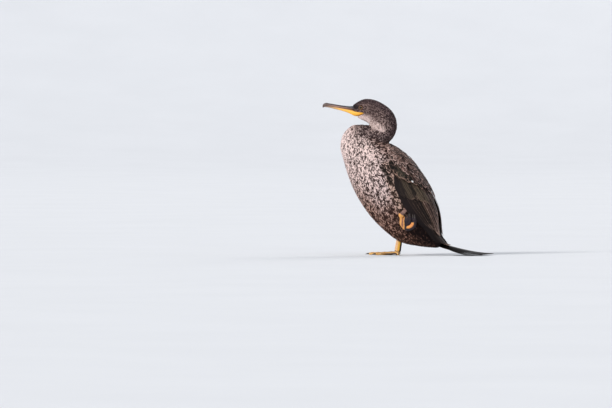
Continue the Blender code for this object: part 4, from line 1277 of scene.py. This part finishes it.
def footParts(toes, start, end, slim, drawnUp):
    # closed parts that overlap, each as points and faces: toes, webs, pad and leg
    s, parts = np.linspace(0, 1, 44), []
    for toe, (_, length) in zip(toes, feet["toes"]):
        radius = toeRadius(s, length)
        parts.append(ringTube(toe(s), radius * 0.9, radius))
    parts += [webSheet(one, other) for one, other in zip(toes, toes[1:])]
    if drawnUp:
        parts.append(pleatedFold(toes[-1]))
    points, faces = ball(feet["pad"] * mm, 28, 18)
    parts.append((points + toes[0](np.array(0.0)), faces))
    share = np.linspace(0, 1, 24)
    leg = (start * (1 - share[:, None]) + end * share[:, None]) * mm
    deep = feet["depth"] * slim * (0.92 + 0.2 * np.abs(share - 0.4)) * mm
    return parts + [ringTube(leg, deep * feet["narrow"], deep, 28)]


def wrapped(name, parts):
    # one closed mesh round all parts
    points, faces, first = [], [], 0
    for places, corners in parts:
        points.append(places)
        faces += [tuple(k + first for k in face) for face in corners]
        first += len(places)
    loose = meshFrom(name + "Parts", np.concatenate(points), faces)
    fine = remeshed(name, [loose], feet["voxel"] * mm, feet["smoothing"])
    bpy.data.meshes.remove(loose)
    return fine


def surveyFoot(toes, start, end, depth):
    # known places along toes and leg, and for each how far along it is, how thick the part is there,
    # whether it is the leg, the toe's number, and its share of the length
    places, notes = [], []

    def note(where, share, length, thick, onLeg, number):
        same = np.ones_like(share)
        places.append(where)
        notes.append(np.stack([share * length * mm, same * thick, same * onLeg, same * number, share], -1))

    share = np.linspace(0, 1, 90)
    for number, (toe, (_, length)) in enumerate(zip(toes, feet["toes"])):
        note(toe(share), share, length, toeRadius(share, length), 0, number)
    share = np.linspace(0, 1, 60)
    along = (start + (end - start) * share[:, None]) * mm
    note(along, share, np.linalg.norm(end - start), depth, 1, len(toes))
    return np.concatenate(places), np.concatenate(notes)


def footMarks(points, normals, toes, start, end, depth, drawnUp):
    # where each point lies: along the nearest toe or the leg, over it or on a web
    places, notes = surveyFoot(toes, start, end, depth)
    net = netOf(places)
    found = [net.find(p) for p in points]
    nearest, far = np.array([f[1] for f in found]), np.array([f[2] for f in found])
    run, thick, onLeg, toe, share = notes[nearest].T
    # the drawn up foot keeps its colour where lit, along its front and on one curled toe, and is painted
    # shade elsewhere
    orange = np.interp(share, *feet["orange"]) * (toe == feet["orangeToe"])
    # the curled toe stays orange only on its side facing -y; its rims that turn away get painted shade
    orange = orange * np.interp(-normals[:, 1], (0.45, 0.80), (0, 1))
    x, z = points[:, 0] / mm, points[:, 2] / mm
    bright = np.interp(x, *feet["brightBack"]) * np.interp(z, *feet["brightUp"])
    front = np.array((-0.5, -0.8, 0.2) if drawnUp else (0, 0, 1.0))
    return {
        "web": np.clip((far / thick - 1.08) * 4, 0, 1) * (1 - onLeg), "run": run, "leg": onLeg,
        "rear": (points[:, 0] - places[nearest, 0]) / depth, "orange": orange * drawnUp,
        "bright": np.clip(orange + bright, 0, 1), "drawn": np.full(len(points), float(drawnUp)),
        "upper": np.where(onLeg > 0.5, -normals[:, 0], normals @ front),
    }


def footLook():
    # orange yellow toes with scutes, dark webs, and a leg that is pale in front and painted black behind as
    # its shaded side
    look = Look("footSkin", Roughness=0.55, Specular_IOR_Level=0.15)
    web, run, rear, leg, upper = (look.mark(key) for key in ("web", "run", "rear", "leg", "upper"))
    bright, orange, drawn = (look.mark(key) for key in ("bright", "orange", "drawn"))
    fine = look.noise(500.0, 4.0) - 0.5
    broad = look.noise(120.0, 2.0) - 0.5
    x, _, z = look.axes()
    onLeg, patchy, offWeb = leg.step(0.3, 0.7), (broad + fine).step(-0.3, 0.3), 1 - web.step(0.2, 0.5)
    toe = look.mix((broad + fine * 0.5).step(-0.2, 0.25), (0.80, 0.42, 0.11), (0.86, 0.55, 0.22))
    toe = look.mix((upper + fine * 0.6).step(0.55, 1.0) * 0.6, toe, (0.20, 0.11, 0.10))
    toe = look.mix(drawn * 0.6, toe, (0.93, 0.40, 0.10))
    back = rear + fine * 0.3
    tarsus = look.mix(back.step(-0.25, 0.15), (0.88, 0.54, 0.29), (0.93, 0.49, 0.065))
    # the leg's back is painted black as its shaded side
    tarsus = look.mix(back.step(0.50, 0.66), tarsus, (0.020, 0.015, 0.018))
    colour = look.mix(onLeg, toe, tarsus)
    shank = look.mix(patchy, (0.150, 0.085, 0.070), (0.300, 0.175, 0.145))
    colour = look.mix(drawn * onLeg, colour, shank)
    colour = look.mix(orange, colour, look.mix(broad + 0.5, (0.90, 0.30, 0.11), (0.86, 0.42, 0.09)))
    webColour = look.mix(patchy, (0.014, 0.013, 0.022), (0.050, 0.036, 0.046))
    colour = look.mix((web + fine * 0.3).step(0.25, 0.6) * (1 - drawn), colour, webColour)
    # the drawn up foot has a brown stripe down its shank, and painted deep shade on its toes and webs outside
    # the lit parts
    middle, low, high = feet["stripe"]
    stripe = drawn * (1 - (x - middle + broad * 0.004).size().step(0.0010, 0.0026)) * z.step(*low)
    stripe = stripe * (1 - z.step(*high)) * (1 - orange)
    colour = look.mix(stripe * 0.8, colour, (0.20, 0.080, 0.085))
    inShade = drawn * (1 - onLeg) * (1 - (bright + fine * 0.5).step(0.3, 0.7))
    colour = look.mix(inShade, colour, look.mix(fine + 0.5, (0.006, 0.006, 0.012), (0.022, 0.018, 0.028)))
    lines = (run * 2850.0).sine() * 0.5 + 0.5
    scutes = (lines ** 0.5) * upper.step(-0.1, 0.35) * offWeb
    cells = look.node("ShaderNodeTexVoronoi", {"Vector": look.place(), "Scale": 620.0}, "Distance",
                      feature="DISTANCE_TO_EDGE")
    seams = cells.step(0.0, 0.12)
    grime = (1 - lines.step(0.0, 0.22)) * upper.step(0.1, 0.5) * offWeb
    colour = look.mix(grime * 0.45, colour, (0.13, 0.07, 0.05))
    look.feed("Base Color", look.mix((1 - seams) * 0.25, colour, (0.10, 0.06, 0.05)))
    look.bump(scutes * 0.8 + seams * 0.35 + fine * 0.2, 0.6, 0.5 * mm)
    return look


def buildFoot(name, toeLine, start, end, slim, look):
    drawnUp = toeLine is drawnUpToe
    start, end, depth = np.array(start), np.array(end), feet["depth"] * slim * mm
    toes = [lambda s, turn=turn, length=length: toeLine(turn, length, s) for turn, length in feet["toes"]]
    mesh = wrapped(name, footParts(toes, start, end, slim, drawnUp))
    points, normals = meshForm(mesh)
    points[:, 2] = np.maximum(points[:, 2], feet["lowest"] * mm)
    for key, values in footMarks(points, normals, toes, start, end, depth, drawnUp).items():
        addMark(mesh, key, values)
    setPoints(mesh, points)
    side = name.removeprefix("foot").lower()
    unwrap(addObject(name, mesh, look, ("foot_" + side, "leg_" + side)))
    print(f"{name}: {len(mesh.polygons)} faces")


# how the claws' meshes are made, in mm
clawMesh = {"voxel": 0.22, "smoothing": 4}


def refineClaws():
    look = Look("clawHorn", Roughness=0.35, Specular_IOR_Level=0.5)
    look.feed("Base Color", look.mix(look.noise(400.0), (0.012, 0.010, 0.010), (0.060, 0.042, 0.036)))
    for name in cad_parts:
        if "claw" in name:
            mesh = remeshed(name + "Fine", solids(name), clawMesh["voxel"] * mm, clawMesh["smoothing"])
            unwrap(addObject(name + "Fine", mesh, look, (name,)))


footSkin = footLook()
buildFoot("footRight", standingToe, feet["tarsus"], feet["top"], 1.0, footSkin)
buildFoot("footLeft", drawnUpToe, feet["ankle"], feet["hock"], feet["slim"], footSkin)
refineClaws()
print("feet made")
